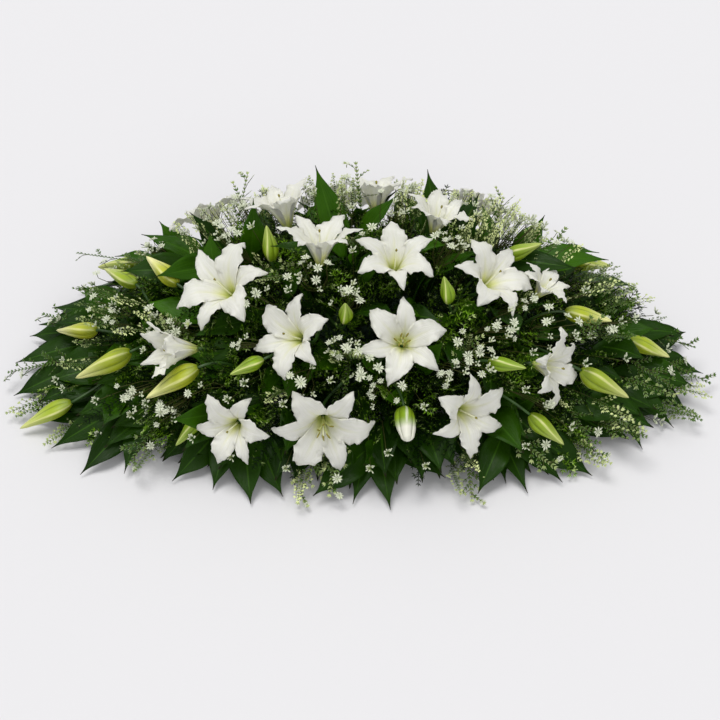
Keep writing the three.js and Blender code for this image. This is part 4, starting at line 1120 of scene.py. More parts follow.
# The fine twigs of a grown frond: how many on each side, where the last one starts, how far out
# and ahead they run in shares of their reach, and how far they bow out and up
FROND_TWIG = {"count": 9, "last": 0.94, "out": 0.95, "ahead": 0.55, "bow": 0.07, "rise": 0.001}


def find_fronds(name, order):
    """Every frond of a fern stem as the construction posed it."""
    marks = Marks(f"fern_{name}")
    for growth in growths(FERNS[name], GROWTH["frond"]):
        turn = FROND["turn"] * (scatter(growth[0], order + 60) - 0.5)
        found = find_pose(marks, growth, turn, frond_corners)
        if found:
            yield found


def frond_path(foot, tip, up):
    """What a frond's arc is drawn towards, and the stops along its rib."""
    stalk, end, pairs = FROND["stalk"], FROND["end"], FROND["pairs"]
    middle = foot.lerp(tip, 0.5) + up * FROND["sag"]
    stops = [0] + [stalk + (end - stalk) * j / pairs for j in range(pairs + 1)] + [1]
    return middle, [bend(foot, middle, tip, t) for t in stops]


def leaflet_reach(share):
    """How far out a frond's leaflets reach."""
    return FROND["half"] * (1 - share) ** 0.7 * min(1, 0.55 + 2 * share)


def frond_corners(foot, tip, up):
    """The tips of one pair of a packed frond's leaflets."""
    frames = frames_along(frond_path(foot, tip, up)[1], up)
    place, ahead, side, _ = frames[FROND_PAIR]
    long = leaflet_reach((FROND_PAIR - 0.5) / FROND["pairs"])
    stride = (frames[FROND_PAIR + 1][0] - place).length
    return [place + side * sign * long + ahead * stride for sign in (-1, 1)]


def frond_lines(lines, foot, tip, up):
    """A frond's rib and the fine twigs to each side of it."""
    middle, path = frond_path(foot, tip, up)
    frames = frames_along(path, up)
    lines.add(path, up)
    twig = FROND_TWIG
    for n in range(twig["count"]):
        share = n / (twig["count"] - 1)
        at = FROND["stalk"] + (FROND["end"] - FROND["stalk"]) * share * twig["last"]
        start = bend(foot, middle, tip, at)
        _, ahead, side, over = frames[1 + int(share * 0.99 * FROND["pairs"])]
        long = leaflet_reach(0.06 + 0.86 * share)
        for sign in (-1, 1):
            out = side * sign * long
            end = start + out * twig["out"] + ahead * long * twig["ahead"]
            halfway = start.lerp(end, 0.5) + out * twig["bow"] + over * twig["rise"]
            lines.add([start, halfway, end], over, (0.3, 1.0))


SPRIG_RADIUS = 0.0012
# The finer twigs between a packed sprig's own: how many, where they start, their reach in metres,
# and how far aside, ahead, up and bowed they run in shares of it
FINE_TWIG = {
    "count": 9,
    "first": 0.45,
    "spread": 0.5,
    "reach": 0.027,
    "side": 0.75,
    "ahead": 0.65,
    "up": 0.12,
    "bow": 0.06,
}
# How far a packed twig's middle is raised, and its star flower let in
TWIG_RISE = 0.002
FLORET_DEPTH = 0.006


def find_sprigs(name, order):
    """Every sprig of a filler stem as the construction posed it: its line, then its twigs, and
    whether a floret sits on each."""
    marks = Marks(f"filler_{name}")
    for growth in growths(FILLERS[name], GROWTH["sprig"]):
        found = find_sprig(marks, growth)
        if found:
            yield found, list(find_twigs(marks, *found, order * 10 + growth[0]))


def sprig_middle(foot, tip, facing):
    """Where a sprig's arc is drawn towards."""
    return foot.lerp(tip, 0.5) + facing * SPRIG["arch"]


def find_sprig(marks, growth):
    """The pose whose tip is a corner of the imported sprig, and whose bend fits it best."""
    corner = growth[1]
    facing = outward_at(corner)
    best = None
    for foot, lift, swing in poses_of(growth):
        tip = posed(foot, corner, facing, 0, lift, swing)[0]
        if marks.hold([tip]):
            halfway = bend(foot, sprig_middle(foot, tip, facing), tip, 0.5)
            off = abs(marks.tree.find(halfway)[2] - SPRIG_RADIUS)
            if best is None or off < best[0]:
                best = (off, foot, tip)
    return best and (best[1], best[2], facing)


def twig_start(foot, tip, facing, share, turn_back):
    """Where a twig leaves its sprig, and the ways ahead and aside there."""
    middle = sprig_middle(foot, tip, facing)
    ahead = ((middle - foot) * (1 - share) + (tip - middle) * share).normalized()
    side = ahead.cross(facing).normalized() * (-1 if turn_back else 1)
    return bend(foot, middle, tip, share), ahead, side


def find_twigs(marks, foot, tip, facing, order):
    """The twigs of a packed sprig, from start to end, and whether each bears a floret."""
    for i in range(SPRIG["twigs"]):
        share = SPRIG["first"] + (SPRIG["last"] - SPRIG["first"]) * i / (SPRIG["twigs"] - 1)
        start, ahead, side = twig_start(foot, tip, facing, share, i % 2)
        long = SPRIG["reach"] * (1.1 - 0.6 * share)
        end = start + side * 0.75 * long + ahead * 0.6 * long
        end = end + facing * long * (scatter(i, order) - 0.2)
        flowers = i % 2 == 1 and scatter(i, order + 50) < SPRIG["flowering"]
        over = facing * (SPRIG_RADIUS if flowers else 0)
        for swing, lift in product(TWIG_SWINGS, TWIG_LIFTS):
            place = posed(start, end, facing, 0, lift, swing)[0]
            if marks.hold([place + over]):
                yield start, place, flowers
                break


def sprig_twigs(lines, planting, clearings, foot, tip, facing, twigs):
    """A filler sprig as fine lines: its axis, its packed twigs with their star flowers, and
    finer twigs between them."""
    middle = sprig_middle(foot, tip, facing)
    lines.add([bend(foot, middle, tip, t) for t in np.linspace(0.3, 1, 7)], facing, (0.2, 1))
    lines.add([bend(foot, middle, tip, t) for t in np.linspace(0, 0.3, 3)], facing, (0, 0.2))
    for k, (start, end, flowers) in enumerate(twigs):
        lines.add([start, start.lerp(end, 0.5) + facing * TWIG_RISE, end], facing, (0.4, 1))
        if flowers:
            kind = int(3 * scatter(k, 210))
            place = end - facing * FLORET_DEPTH
            planting.put(place, facing, square_to(facing), 1.0, kind, 0.6)
    fine = FINE_TWIG
    for n in range(fine["count"]):
        share = fine["first"] + fine["spread"] * n / (fine["count"] - 1)
        start, ahead, side = twig_start(foot, tip, facing, share, n % 2 == 0)
        long = fine["reach"] * (1.15 - share) / 0.7
        way = side * fine["side"] + ahead * fine["ahead"] + facing * fine["up"]
        if clearings.is_free(start, way, long, 0):
            end = start + way * long
            halfway = start.lerp(end, 0.5) + ahead * long * fine["bow"]
            lines.add([start, halfway, end], facing, (0.4, 1))


def spread(count):
    """Evenly scattered pairs of shares from 0 to 1."""
    for n in range(1, count + 1):
        yield n, (0.5 + n * 0.7548776662) % 1, (0.5 + n * 0.5698402910) % 1


FRONT_VIEW = Vector((0, 1, -1)).normalized()
UP_IN_VIEW = Vector((0, 1, 1)).normalized()
# How far up the view the spray's outline reaches in its middle, and its dark fine greenery
CREST_TOP = 0.262
FERN_TOP = 0.216
CREST_HALF_LENGTH = 0.52
# How far greenery may stand out over the crest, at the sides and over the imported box
SPARE = {"crest": 0.012, "side": 0.004, "top": 0.006}
LOWEST = 0.007
# How far off a bloom has to be that lies behind or under a sprig, or just ahead of its tip
SHADOW = 0.07
AHEAD = 0.004
# Where along a sprig its room is looked at, and how much it needs there, in shares of its length
LOOKS = ((0.35, 0.3), (0.7, 0.2), (1.0, 0.1))
# The shares of its length that a sprig may be cut back to where it has too little room
CUT_BACK = (1.0, 0.8, 0.62, 0.48)


class Clearings:
    """Knows where the blooms, buds and leaves are, so that greenery is kept off them."""

    def __init__(self):
        objects = bpy.context.scene.objects
        flowers = [piece for piece in objects if piece.name.startswith(("bloom_", "buds_"))]
        self.blooms = shapes_of(flowers)
        self.shown = shapes_of([piece for piece in flowers if "_rear_" not in piece.name])
        self.leaves = shapes_of([frame["nodes"][f"leaves_{name}"] for name in BRANCHES])

    def is_free(self, foot, ahead, long, over_leaves=0.05, near=1.0, crest=CREST_TOP):
        """Whether a sprig crosses no bloom, lies over none and hides none from the front, nor
        lies over a leaf nearer than a given distance, nor stands out over the crest."""
        if self.blooms.ray_cast(foot, ahead, long + AHEAD)[0] is not None:
            return False
        for share, room in LOOKS:
            point = foot + ahead * long * share
            if not has_room(point, crest):
                return False
            if self.blooms.find_nearest(point, long * room * near)[0] is not None:
                return False
            inward = -outward_at(point)
            if self.shown.ray_cast(point, FRONT_VIEW, SHADOW)[0] is not None:
                return False
            if self.blooms.ray_cast(point, inward, SHADOW * near)[0] is not None:
                return False
            for way in (inward, FRONT_VIEW):
                if over_leaves and self.leaves.ray_cast(point, way, over_leaves)[0] is not None:
                    return False
        return True

    def fit(self, foot, ahead, long, near=1.0, crest=CREST_TOP):
        """The length that a sprig of this length may have here, or 0."""
        for share in CUT_BACK:
            if self.is_free(foot, ahead, long * share, near=near, crest=crest):
                return long * share
        return 0


def shapes_of(pieces):
    """The faces of some pieces as one tree for casting rays, without the stems among them."""
    points, faces = [], []
    for piece in pieces:
        first = len(points)
        points.extend(vertex.co.copy() for vertex in piece.data.vertices)
        has_stems = len(piece.data.materials) > 1
        for face in piece.data.polygons:
            if not has_stems or face.material_index != STEM:
                faces.append([first + n for n in face.vertices])
    return BVHTree.FromPolygons(points, faces)


def has_room(point, crest):
    """Whether a sprig's end stays within the spray's own size and outline."""
    low, high = CAD_BOX
    side = SPARE["side"]
    top = crest * (1 - (point.x / CREST_HALF_LENGTH) ** 2) + SPARE["crest"]
    inside = all(low[k] - side < point[k] < high[k] + side for k in (0, 1))
    return inside and point.dot(UP_IN_VIEW) <= top and LOWEST < point.z < high[2] + SPARE["top"]


# Where each sort of greenery is planted: how much of the dome's length it covers, and from how
# many degrees round it, over how many
FIELDS = {
    "ferns": (0.98, 3, 174),
    "rear clusters": (0.88, 96, 74),
    "lace": (0.94, 8, 164),
    "rear lace": (0.94, 100, 36),
    "feathers": (0.9, 24, 142),
    "rear feathers": (0.94, 90, 50),
    "filling leaves": (0.84, 6, 168),
    "inner leaves": (0.97, 2, 176),
    "front rim leaves": (0.97, 1, 8),
    "rear rim leaves": (0.97, 178, -6),
}


def place_in(field, u, v):
    """The x and the degrees round the dome of a scattered place in a field."""
    long, first, over = FIELDS[field]
    return long * (u - 0.5), first + over * v


def stem_to(x, around, reach):
    """A place on the dome, the root of the stem that heads for it, and the way it runs."""
    place = on_dome(x, around, reach)
    root = root_for(place)
    return place, root, (place - root).normalized()


# How far out each layer of fern stems reaches, and how light it is: painted shade that darkens the deeper
# layers
FERN_LAYERS = (0.74, 0.88, 1.0, 0.96)
FERN_SHADES = (0.1, 0.35, 0.95, 0.75)
# Degrees from one sprig of a stem to the next, and to where it is tried again
GOLDEN_TURN = 137.5
OTHER_SIDE = 120
# How much of a fern stem bears sprigs, how long they are in shares of their usual length, and by
# how many degrees the end one and the others lean out: each the least, then the variety
FERN_SPRIGS = {"part": 0.45, "long": (0.8, 0.45), "end_lean": 6, "lean": (32, 26)}


def chosen(limits, share):
    """A value from the least on, by a share of the variety."""
    return limits[0] + limits[1] * share


def plant_ferns(look, clearings):
    """Sets out fine fern sprigs all over the dome, on stems from the foam."""
    plantings = {name: Planting() for name in FERNS}
    long = look.sprig_length
    for n, u, v in spread(look.fern_stems):
        x, around = place_in("ferns", u, v)
        if scatter(n, 81) > math.sqrt(1 - (x / DOME["half_length"]) ** 2) + 0.1:
            continue
        layer = n % len(FERN_LAYERS)
        depth = FERN_LAYERS[layer] + 0.04 * scatter(n, 82)
        place, root, ahead = stem_to(x, around, depth)
        end = place - ahead * long * 0.85
        planting = plantings[nearest(FERNS, place)]
        planting.stem([root, root.lerp(end, 0.5) + Vector((0, 0, 0.004)), end])
        side = square_to(ahead)
        for k in range(look.sprigs_on_stem):
            part = FERN_SPRIGS["part"] * (k / look.sprigs_on_stem) ** 0.8
            foot = root.lerp(end, 1 - part)
            wanted = long * chosen(FERN_SPRIGS["long"], scatter(n, 100 + k))
            lean_out = chosen(FERN_SPRIGS["lean"], scatter(n, 90 + k))
            for attempt in range(3):
                lean = turned(side, ahead, GOLDEN_TURN * (k + n) + OTHER_SIDE * attempt)
                pitch = math.radians(lean_out if k + attempt else FERN_SPRIGS["end_lean"])
                way = (ahead * math.cos(pitch) + lean * math.sin(pitch)).normalized()
                reach = clearings.fit(foot, way, wanted, crest=FERN_TOP)
                if reach:
                    facing = outward_at(foot) + 0.5 * turned(side, ahead, 77 * (k + n))
                    kind = int(3 * scatter(n, 120 + k))
                    # A random tone, times the layer's painted shade
                    shade = (0.25 + 0.75 * scatter(n, 140 + k)) * FERN_SHADES[layer]
                    planting.put(foot, way, facing.normalized(), reach / long, kind, shade)
                    break
    return plantings


def leaflet_mesh(half):
    """One small folded leaflet along +X, a metre long, to be sized where it is set out."""
    points = [(0, 0, 0), (0.42, half, 0.1), (0.42, -half, 0.1), (1, 0, 0)]
    faces = [(2, 1, 0), (2, 3, 1), (3, 2, 0), (1, 3, 0)]
    return plain_mesh("leaflet", points, [], faces, tint=[0.3, 0.45, 0.45, 0.7])


def sprig_lines(long, pairs, half, order):
    """A feathery sprig along +X: a rib, and pairs of twigs that shorten towards its tip."""
    lines = Lines()
    up = Vector((0, 0, 1))
    sway = 0.12 * (scatter(order, 7) - 0.5)
    middle = Vector((0.5 * long, sway * long, 0.06 * long))
    tip = Vector((long, 0, 0))
    foot = Vector((0, 0, 0))
    lines.add([bend(foot, middle, tip, t) for t in np.linspace(0, 1, 4)], up)
    for n in range(pairs):
        share = 0.1 + 0.78 * n / (pairs - 1)
        reach = half * (1 - share) ** 0.75 * min(1, 0.5 + 2.4 * share)
        for sign in (-1, 1):
            at = min(max(share + 0.08 * (scatter(n, order + 15 + sign) - 0.5), 0.04), 0.97)
            start = bend(foot, middle, tip, at)
            own = reach * (0.65 + 0.7 * scatter(n, order + 9 + sign))
            lean = math.radians(34 + 30 * scatter(n, order + 12 + sign))
            rise = 0.8 * (scatter(n, order + 20 + sign) - 0.45)
            way = Vector((math.cos(lean), sign * math.sin(lean), rise))
            lines.add([start, start + way * own], up, (0.35 + 0.5 * share, 1.0))
    return lines


class Flower:
    """Gathers the closed shapes of a small flower, each point with its tint."""

    def __init__(self):
        self.points = []
        self.faces = []
        self.tints = []

    def add(self, points, tints, faces):
        """Adds a closed shape, its faces counted from its own first point."""
        first = len(self.points)
        self.points.extend(points)
        self.tints.extend(tints)
        self.faces.extend([first + n for n in face] for face in faces)

    def mesh(self):
        """The flower as a mesh."""
        share = [0.6] * len(self.points)
        return plain_mesh("flower", self.points, [], self.faces, tint=self.tints, share=share)


def way_round(axis, turn):
    """A direction square to an axis, turned round it."""
    side = square_to(axis)
    return side * math.cos(turn) + axis.cross(side) * math.sin(turn)


def double_cone(over, under, first, count):
    """The faces between a ring of points, from its first one on, and two points of its axis."""
    for n in range(count):
        m = (n + 1) % count
        yield over, first + n, first + m
        yield under, first + m, first + n


FLORET_PETALS = 9
FLORET_STEM = 0.0006
# How far from their stem's foot the tiny buds sit: the nearest, and how much further others may
BUD_REACH = (0.0045, 0.0055)


def star_mesh(radius, seed):
    """A small white star flower on a short stem along +X: narrow petals round a centre."""
    flower = Flower()
    ahead = Vector((1, 0, 0))
    place = Vector((radius * 1.1, 0, 0))
    for n in range(FLORET_PETALS):
        out = way_round(ahead, 2 * math.pi * (n + 0.25 * scatter(n, seed)) / FLORET_PETALS)
        wide = ahead.cross(out) * radius * 0.17
        long = radius * (0.85 + 0.3 * scatter(n, seed + 3))
        middle = place + out * long * 0.62 + ahead * radius * 0.2
        tip = place + out * long + ahead * radius * (0.5 * scatter(n, seed + 5) - 0.05)
        petal = [place + out * radius * 0.05, middle + wide, middle - wide, tip]
        flower.add(petal, (0.85, 1, 1, 1), ((0, 2, 1), (1, 2, 3), (0, 1, 3), (0, 3, 2)))
    centre = [place + ahead * radius * 0.24, place - ahead * radius * 0.1]
    centre += [place + way_round(ahead, math.pi * n / 3) * radius * 0.17 for n in range(6)]
    flower.add(centre, [0.72, 0.6] + [0.72] * 6, double_cone(0, 1, 2, 6))
    turns = [2 * math.pi * n / 3 for n in range(3)]
    ring = [(FLORET_STEM * math.cos(turn), FLORET_STEM * math.sin(turn)) for turn in turns]
    stem = [Vector((x, *aside)) for x in (0, place.x) for aside in ring]
    walls = [f for n, m in ((0, 1), (1, 2), (2, 0)) for f in ((n, m, 3 + m), (n, 3 + m, 3 + n))]
    flower.add(stem, [0.15] * 6, walls + [(2, 1, 0), (3, 4, 5)])
    return flower.mesh()


def bead_mesh(radius, count, wide, seed):
    """A loose cluster of tiny closed buds on hair-thin stems."""
    flower = Flower()
    for k in range(count):
        ahead = Vector((1, wide * (scatter(k, seed) - 0.5), wide * (scatter(k, seed + 1) - 0.5)))
        ahead.normalize()
        place = ahead * (BUD_REACH[0] + BUD_REACH[1] * scatter(k, seed + 2))
        bead = [place + ahead * radius * 1.2]
        bead += [place + way_round(ahead, math.pi * n / 2) * radius for n in range(4)]
        bead.append(Vector((0, 0, 0)))
        flower.add(bead, [0.98] + [0.95] * 4 + [0.2], double_cone(0, 5, 1, 4))
    return flower.mesh()


# How much larger or smaller each thing that is set out may be
SIZE_VARIATION = 0.08
# What the fine greenery is grown from: the titles and stems of its pieces, its leaflets' half
# width and angle, and how much wider apart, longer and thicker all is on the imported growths
KINDS = {
    "fern": {
        "title": "greenery",
        "stems": FERNS,
        "growth": GROWTH["frond"],
        "half": 0.15,
        "angle": 48,
        "wider": (1, 1, 1.5),
    },
    "filler": {
        "title": "filling",
        "stems": FILLERS,
        "growth": GROWTH["sprig"],
        "half": 0.2,
        "angle": 33,
        "wider": (1.3, 1.35, 1.6),
    },
}


class Grower:
    """Grows one kind of fine greenery: leafy twigs along lines, and stock set out on stems."""

    def __init__(self, kind, look, finish):
        self.kind = kind
        self.plan = KINDS[kind]
        self.look = look
        self.finish = finish
        self.twig_tree = leafy_twig_tree()
        self.stock_tree = set_out_tree()
        self.leaflet = link_object("leaflet", leaflet_mesh(self.plan["half"]))
        self.stock = bpy.data.collections.new("stock")

    def twigs(self, lines, seed, wider=(1, 1, 1)):
        """Leafy twigs along lines."""
        return run_tree("twigs", lines.mesh("lines"), self.twig_tree, {
            "Leaflet": self.leaflet,
            "Leaflet Spacing": self.look.spacing * wider[0],
            "Leaflet Size": self.look.leaflet * wider[1],
            "Leaflet Angle": math.radians(self.plan["angle"]),
            "Twig Thickness": self.look.twig * wider[2],
            "Seed": seed,
            "Finish": self.finish,
        })

    def keep(self, made):
        """Adds a mesh to the stock, which is told apart by its order."""
        link_object(f"stock_{len(self.stock.objects)}", made, self.stock)

    def keep_sprigs(self, long, pairs, half):
        """Adds three feathery sprigs to the stock."""
        for kind in range(3):
            self.keep(self.twigs(sprig_lines(long, pairs, half * long, kind * 31), kind))

    def piece(self, name, seed, lines, planting):
        """Grows and dresses the piece that stands for one packed stem."""
        root, place, reach = stem_of(self.plan["stems"][name][0], self.plan["growth"])
        lines.add([root.lerp(place, reach * t) for t in (0, 0.35, 0.7, 1)], (0, 0, 1), (0, 0.1))
        fine = self.twigs(lines, seed, self.plan["wider"])
        fill = run_tree("planting", planting.mesh("stems"), self.stock_tree, {
            "Stock": self.stock,
            "Stem Thickness": self.look.stem,
            "Size Variation": SIZE_VARIATION,
            "Seed": seed,
            "Finish": self.finish,
        })
        title = f"{self.plan['title']}_{name}"
        made = join_meshes(title, fine, fill)
        dress(title, made, [self.finish], self.kind, f"{self.kind}_{name}")

    def put_away(self):
        """Removes what the trees have set out copies of."""
        for one in (self.leaflet, *self.stock.objects):
            bpy.data.objects.remove(one)


# Where each sort starts in the filler's stock
STARS, BEADS, LACE, FEATHERS = 0, 3, 4, 5
# A cluster's closed heads, where its stems part from one, and the room that a floret needs behind
# and ahead of it
CLUSTER = {"buds": 5, "fork": 0.72, "behind": 0.02, "room": 0.026}
# How far out the lace reaches, how far it may lean, and its room
LACE_HEAD = {"reach": (0.97, 0.05), "lean": 0.8, "behind": 0.012, "room": 0.02}
# How far out the pale sprigs leave the dome, how far back they start, how much they droop over
# the rim, up to which height that is, how many degrees they may turn, and how long they are
FEATHER = {
    "reach": 0.97,
    "back": 0.03,
    "droop": -0.25,
    "rim": 0.05,
    "turn": 50,
    "long": (0.75, 0.5),
}

# Where clusters of star flowers sit: x and degrees round the dome. Those on the crest come last.
CLUSTERS = (
    (-0.133, 66), (-0.064, 71), (-0.022, 48), (0.007, 40), (0.321, 45), (-0.277, 60),
    (0.088, 50), (0.128, 41), (-0.32, 37), (-0.149, 50), (-0.02, 63), (0.191, 57),
    (-0.182, 92), (0.125, 84), (0.22, 66), (0.277, 60), (-0.218, 33), (-0.081, 40),
    (0.034, 34), (-0.276, 30), (0.247, 31), (0.163, 46), (-0.36, 75), (0.37, 70),
    (-0.25, 118), (-0.215, 112), (-0.175, 122), (-0.16, 104), (-0.03, 124), (0.0, 112),
    (0.065, 122), (0.16, 116), (0.2, 122), (0.235, 110), (0.28, 116), (-0.3, 108),
)
# Where pale sprigs stand along the crest: x, and how many
CREST = (
    (-0.38, 3), (-0.34, 3), (-0.3, 4), (-0.26, 4), (-0.225, 6), (-0.19, 5), (-0.15, 2), (-0.03, 4),
    (0, 3), (0.065, 3), (0.09, 3), (0.135, 5), (0.16, 5), (0.19, 5), (0.22, 4), (0.26, 4),
    (0.3, 3), (0.35, 3),
)
# Where they hang over the front rim and the ends
RIM = (
    (-0.46, 3), (-0.42, 2), (-0.37, 2), (-0.3, 1), (-0.085, 2), (-0.045, 2), (0.145, 2),
    (0.175, 1), (0.235, 2), (0.275, 2), (0.315, 2), (0.36, 3), (0.405, 3), (0.445, 4),
    (0.47, 3),
)


def plant_fillers(look, clearings):
    """Sets out star flowers, tiny buds and pale feathery sprigs, for each filler stem."""
    plantings = {name: Planting() for name in FILLERS}
    plant_clusters(look, clearings, plantings)
    plant_lace(look, clearings, plantings)
    plant_feathers(look, clearings, plantings)
    return plantings


def plant_clusters(look, clearings, plantings):
    """Clusters of star flowers: those that show, then scattered ones all round."""
    rear = [place_in("rear clusters", u, v) for _, u, v in spread(look.rear_clusters)]
    for n, (x, around) in enumerate([*CLUSTERS, *rear]):
        place, root, _ = stem_to(x, around, 1.0)
        planting = plantings[nearest(FILLERS, place)]
        for k in range(look.florets_in_cluster + CLUSTER["buds"]):
            shift = Vector([scatter(n, 150 + 3 * k + axis) - 0.5 for axis in range(3)])
            spot = place + shift * look.cluster_width
            ahead = (outward_at(place) + 0.9 * shift).normalized()
            if clearings.is_free(spot - ahead * CLUSTER["behind"], ahead, CLUSTER["room"]):
                start = root.lerp(place, CLUSTER["fork"])
                planting.stem([start, start.lerp(spot, 0.5) + shift * 0.012, spot])
                is_star = k < look.florets_in_cluster
                kind = STARS + int(3 * scatter(n, 170 + k)) if is_star else BEADS
                planting.put(spot, ahead, square_to(ahead), 1.0, kind, scatter(n, 180 + k))


def plant_lace(look, clearings, plantings):
    """Heads of tiny white buds, closer together behind the crest."""
    for n, u, v in spread(look.lace):
        x, around = place_in("lace" if n % 3 else "rear lace", u, v)
        place, root, _ = stem_to(x, around, chosen(LACE_HEAD["reach"], scatter(n, 221)))
        out = outward_at(place)
        lean = LACE_HEAD["lean"] * square_to(out) * (scatter(n, 222) - 0.5)
        ahead = (out + lean).normalized()
        room = LACE_HEAD["room"]
        if clearings.is_free(place - ahead * LACE_HEAD["behind"], ahead, room, room):
            planting = plantings[nearest(FILLERS, place)]
            planting.stem([root.lerp(place, 0.7), root.lerp(place, 0.85), place - ahead * 0.004])
            planting.put(place, ahead, square_to(ahead), 1.0, LACE, scatter(n, 223))


def plant_feathers(look, clearings, plantings):
    """Pale feathery sprigs, which droop near the rim."""
    for n, x, around, near in feather_places(look):
        place, root, ahead = stem_to(x, around, FEATHER["reach"])
        out = outward_at(place)
        droop = Vector((0, 0, FEATHER["droop"] if place.z > FEATHER["rim"] else 0.05))
        way = (ahead + 0.5 * out + droop).normalized()
        way = turned(way, out, FEATHER["turn"] * (scatter(n, 190) - 0.5))
        foot = place - ahead * FEATHER["back"]
        long = look.feather_length * chosen(FEATHER["long"], scatter(n, 191))
        reach = clearings.fit(foot, way, long, near)
        if reach:
            planting = plantings[nearest(FILLERS, place)]
            planting.stem([root.lerp(foot, 0.55), root.lerp(foot, 0.8), foot])
            kind = FEATHERS + int(3 * scatter(n, 192))
            size = reach / look.feather_length
            planting.put(foot, way, outward_at(foot), size, kind, scatter(n, 193))


def feather_places(look):
    """Where the pale sprigs leave the dome, and how near to a bloom each may come: a row on the
    crest and one on the rim, then the rest all over."""
    order = 700
    for row, aside, near in ((CREST, 0.025, 0.2), (RIM, 0.02, 0.5)):
        for x, count in row:
            first, over = (84, 50) if row is CREST else (3, 8 if abs(x) < 0.34 else 50)
            for _ in range(count):
                order += 1
                shift = aside * (scatter(order, 230) - 0.5)
                yield order, x + shift, first + over * scatter(order, 231), near
    for n, u, v in spread(look.feathers):
        side = 1 if n % 2 else -1
        if n % 5 == 0:
            yield n, *place_in("feathers", u, v), 1.0
        elif n % 5 in (1, 2):
            yield n, *place_in("rear feathers", u, v), 0.35
        elif n % 5 == 3:
            yield n, side * (0.3 + 0.15 * v), 60 + 100 * u, 1.0
        else:
            yield n, side * (0.36 + 0.11 * v), 6 + 160 * u, 1.0


# Where the blade starts on a leaf that fills the inside. For the deep ones: how long they may be,
# how low their tips may come, how far they lean aside, turn in degrees and widen. For the rest,
# which grow out from part of a stem: where, how long, how wide, and the least room they need
BLADE_START = 0.1
DEEP_LEAF = {"longest": 0.115, "lowest": 0.008, "lean": 0.03, "turn": 40, "wide": (0.95, 0.3)}
OPEN_LEAF = {"fork": 0.62, "long": (0.6, 0.3), "turn": 50, "wide": (0.7, 0.3), "least": 0.6}


def filling_leaves(look, clearings):
    """The leaves that fill the inside of the dome near each branch: a seed, and the leaf's foot,
    tip, way up, start of the blade and half width."""
    leaves = {name: [] for name in BRANCHES}

    def add(seed, place, foot, tip, turn, half):
        end, up = posed(foot, tip, outward_at(tip), turn, 0, 0)
        leaf = (foot, end, up, BLADE_START, half)
        leaves[nearest(BRANCHES, place)].append((seed, leaf))

    for n, u, v in spread(look.under_leaves):
        low = n % 3 == 0
        field = ("front rim" if n % 12 in (0, 3, 6) else "rear rim") if low else "inner"
        reach = (0.9 if low else 0.68) + 0.1 * scatter(n, 211)
        place, root, ahead = stem_to(*place_in(f"{field} leaves", u, v), reach)
        lean = turned(square_to(ahead), ahead, 360 * scatter(n, 212))
        tip = place + (lean + Vector((0, 0, 0.1))) * DEEP_LEAF["lean"]
        tip.z = max(tip.z, DEEP_LEAF["lowest"])
        stalk = root - tip
        foot = tip + stalk.normalized() * min(DEEP_LEAF["longest"], 0.9 * stalk.length)
        turn = DEEP_LEAF["turn"] * (scatter(n, 213) - 0.5)
        half = LEAF["half"] * chosen(DEEP_LEAF["wide"], scatter(n, 214))
        add(n + 1400, place, foot, tip, turn, half)
    for n, u, v in spread(look.filling_leaves):
        place, root, ahead = stem_to(*place_in("filling leaves", u, v), 0.95)
        lean = turned(square_to(ahead), ahead, 360 * scatter(n, 201))
        long = LEAF["length"] * chosen(OPEN_LEAF["long"], scatter(n, 202))
        foot = root.lerp(place, OPEN_LEAF["fork"])
        way = (ahead + lean * 1.3 + Vector((0, 0, 0.1))).normalized()
        reach = clearings.fit(foot, way, long)
        if reach >= long * OPEN_LEAF["least"]:
            turn = OPEN_LEAF["turn"] * (scatter(n, 203) - 0.5)
            half = LEAF["half"] * chosen(OPEN_LEAF["wide"], scatter(n, 204)) * reach / long
            add(n + 500, place, foot, foot + way * reach, turn, half)
    return leaves


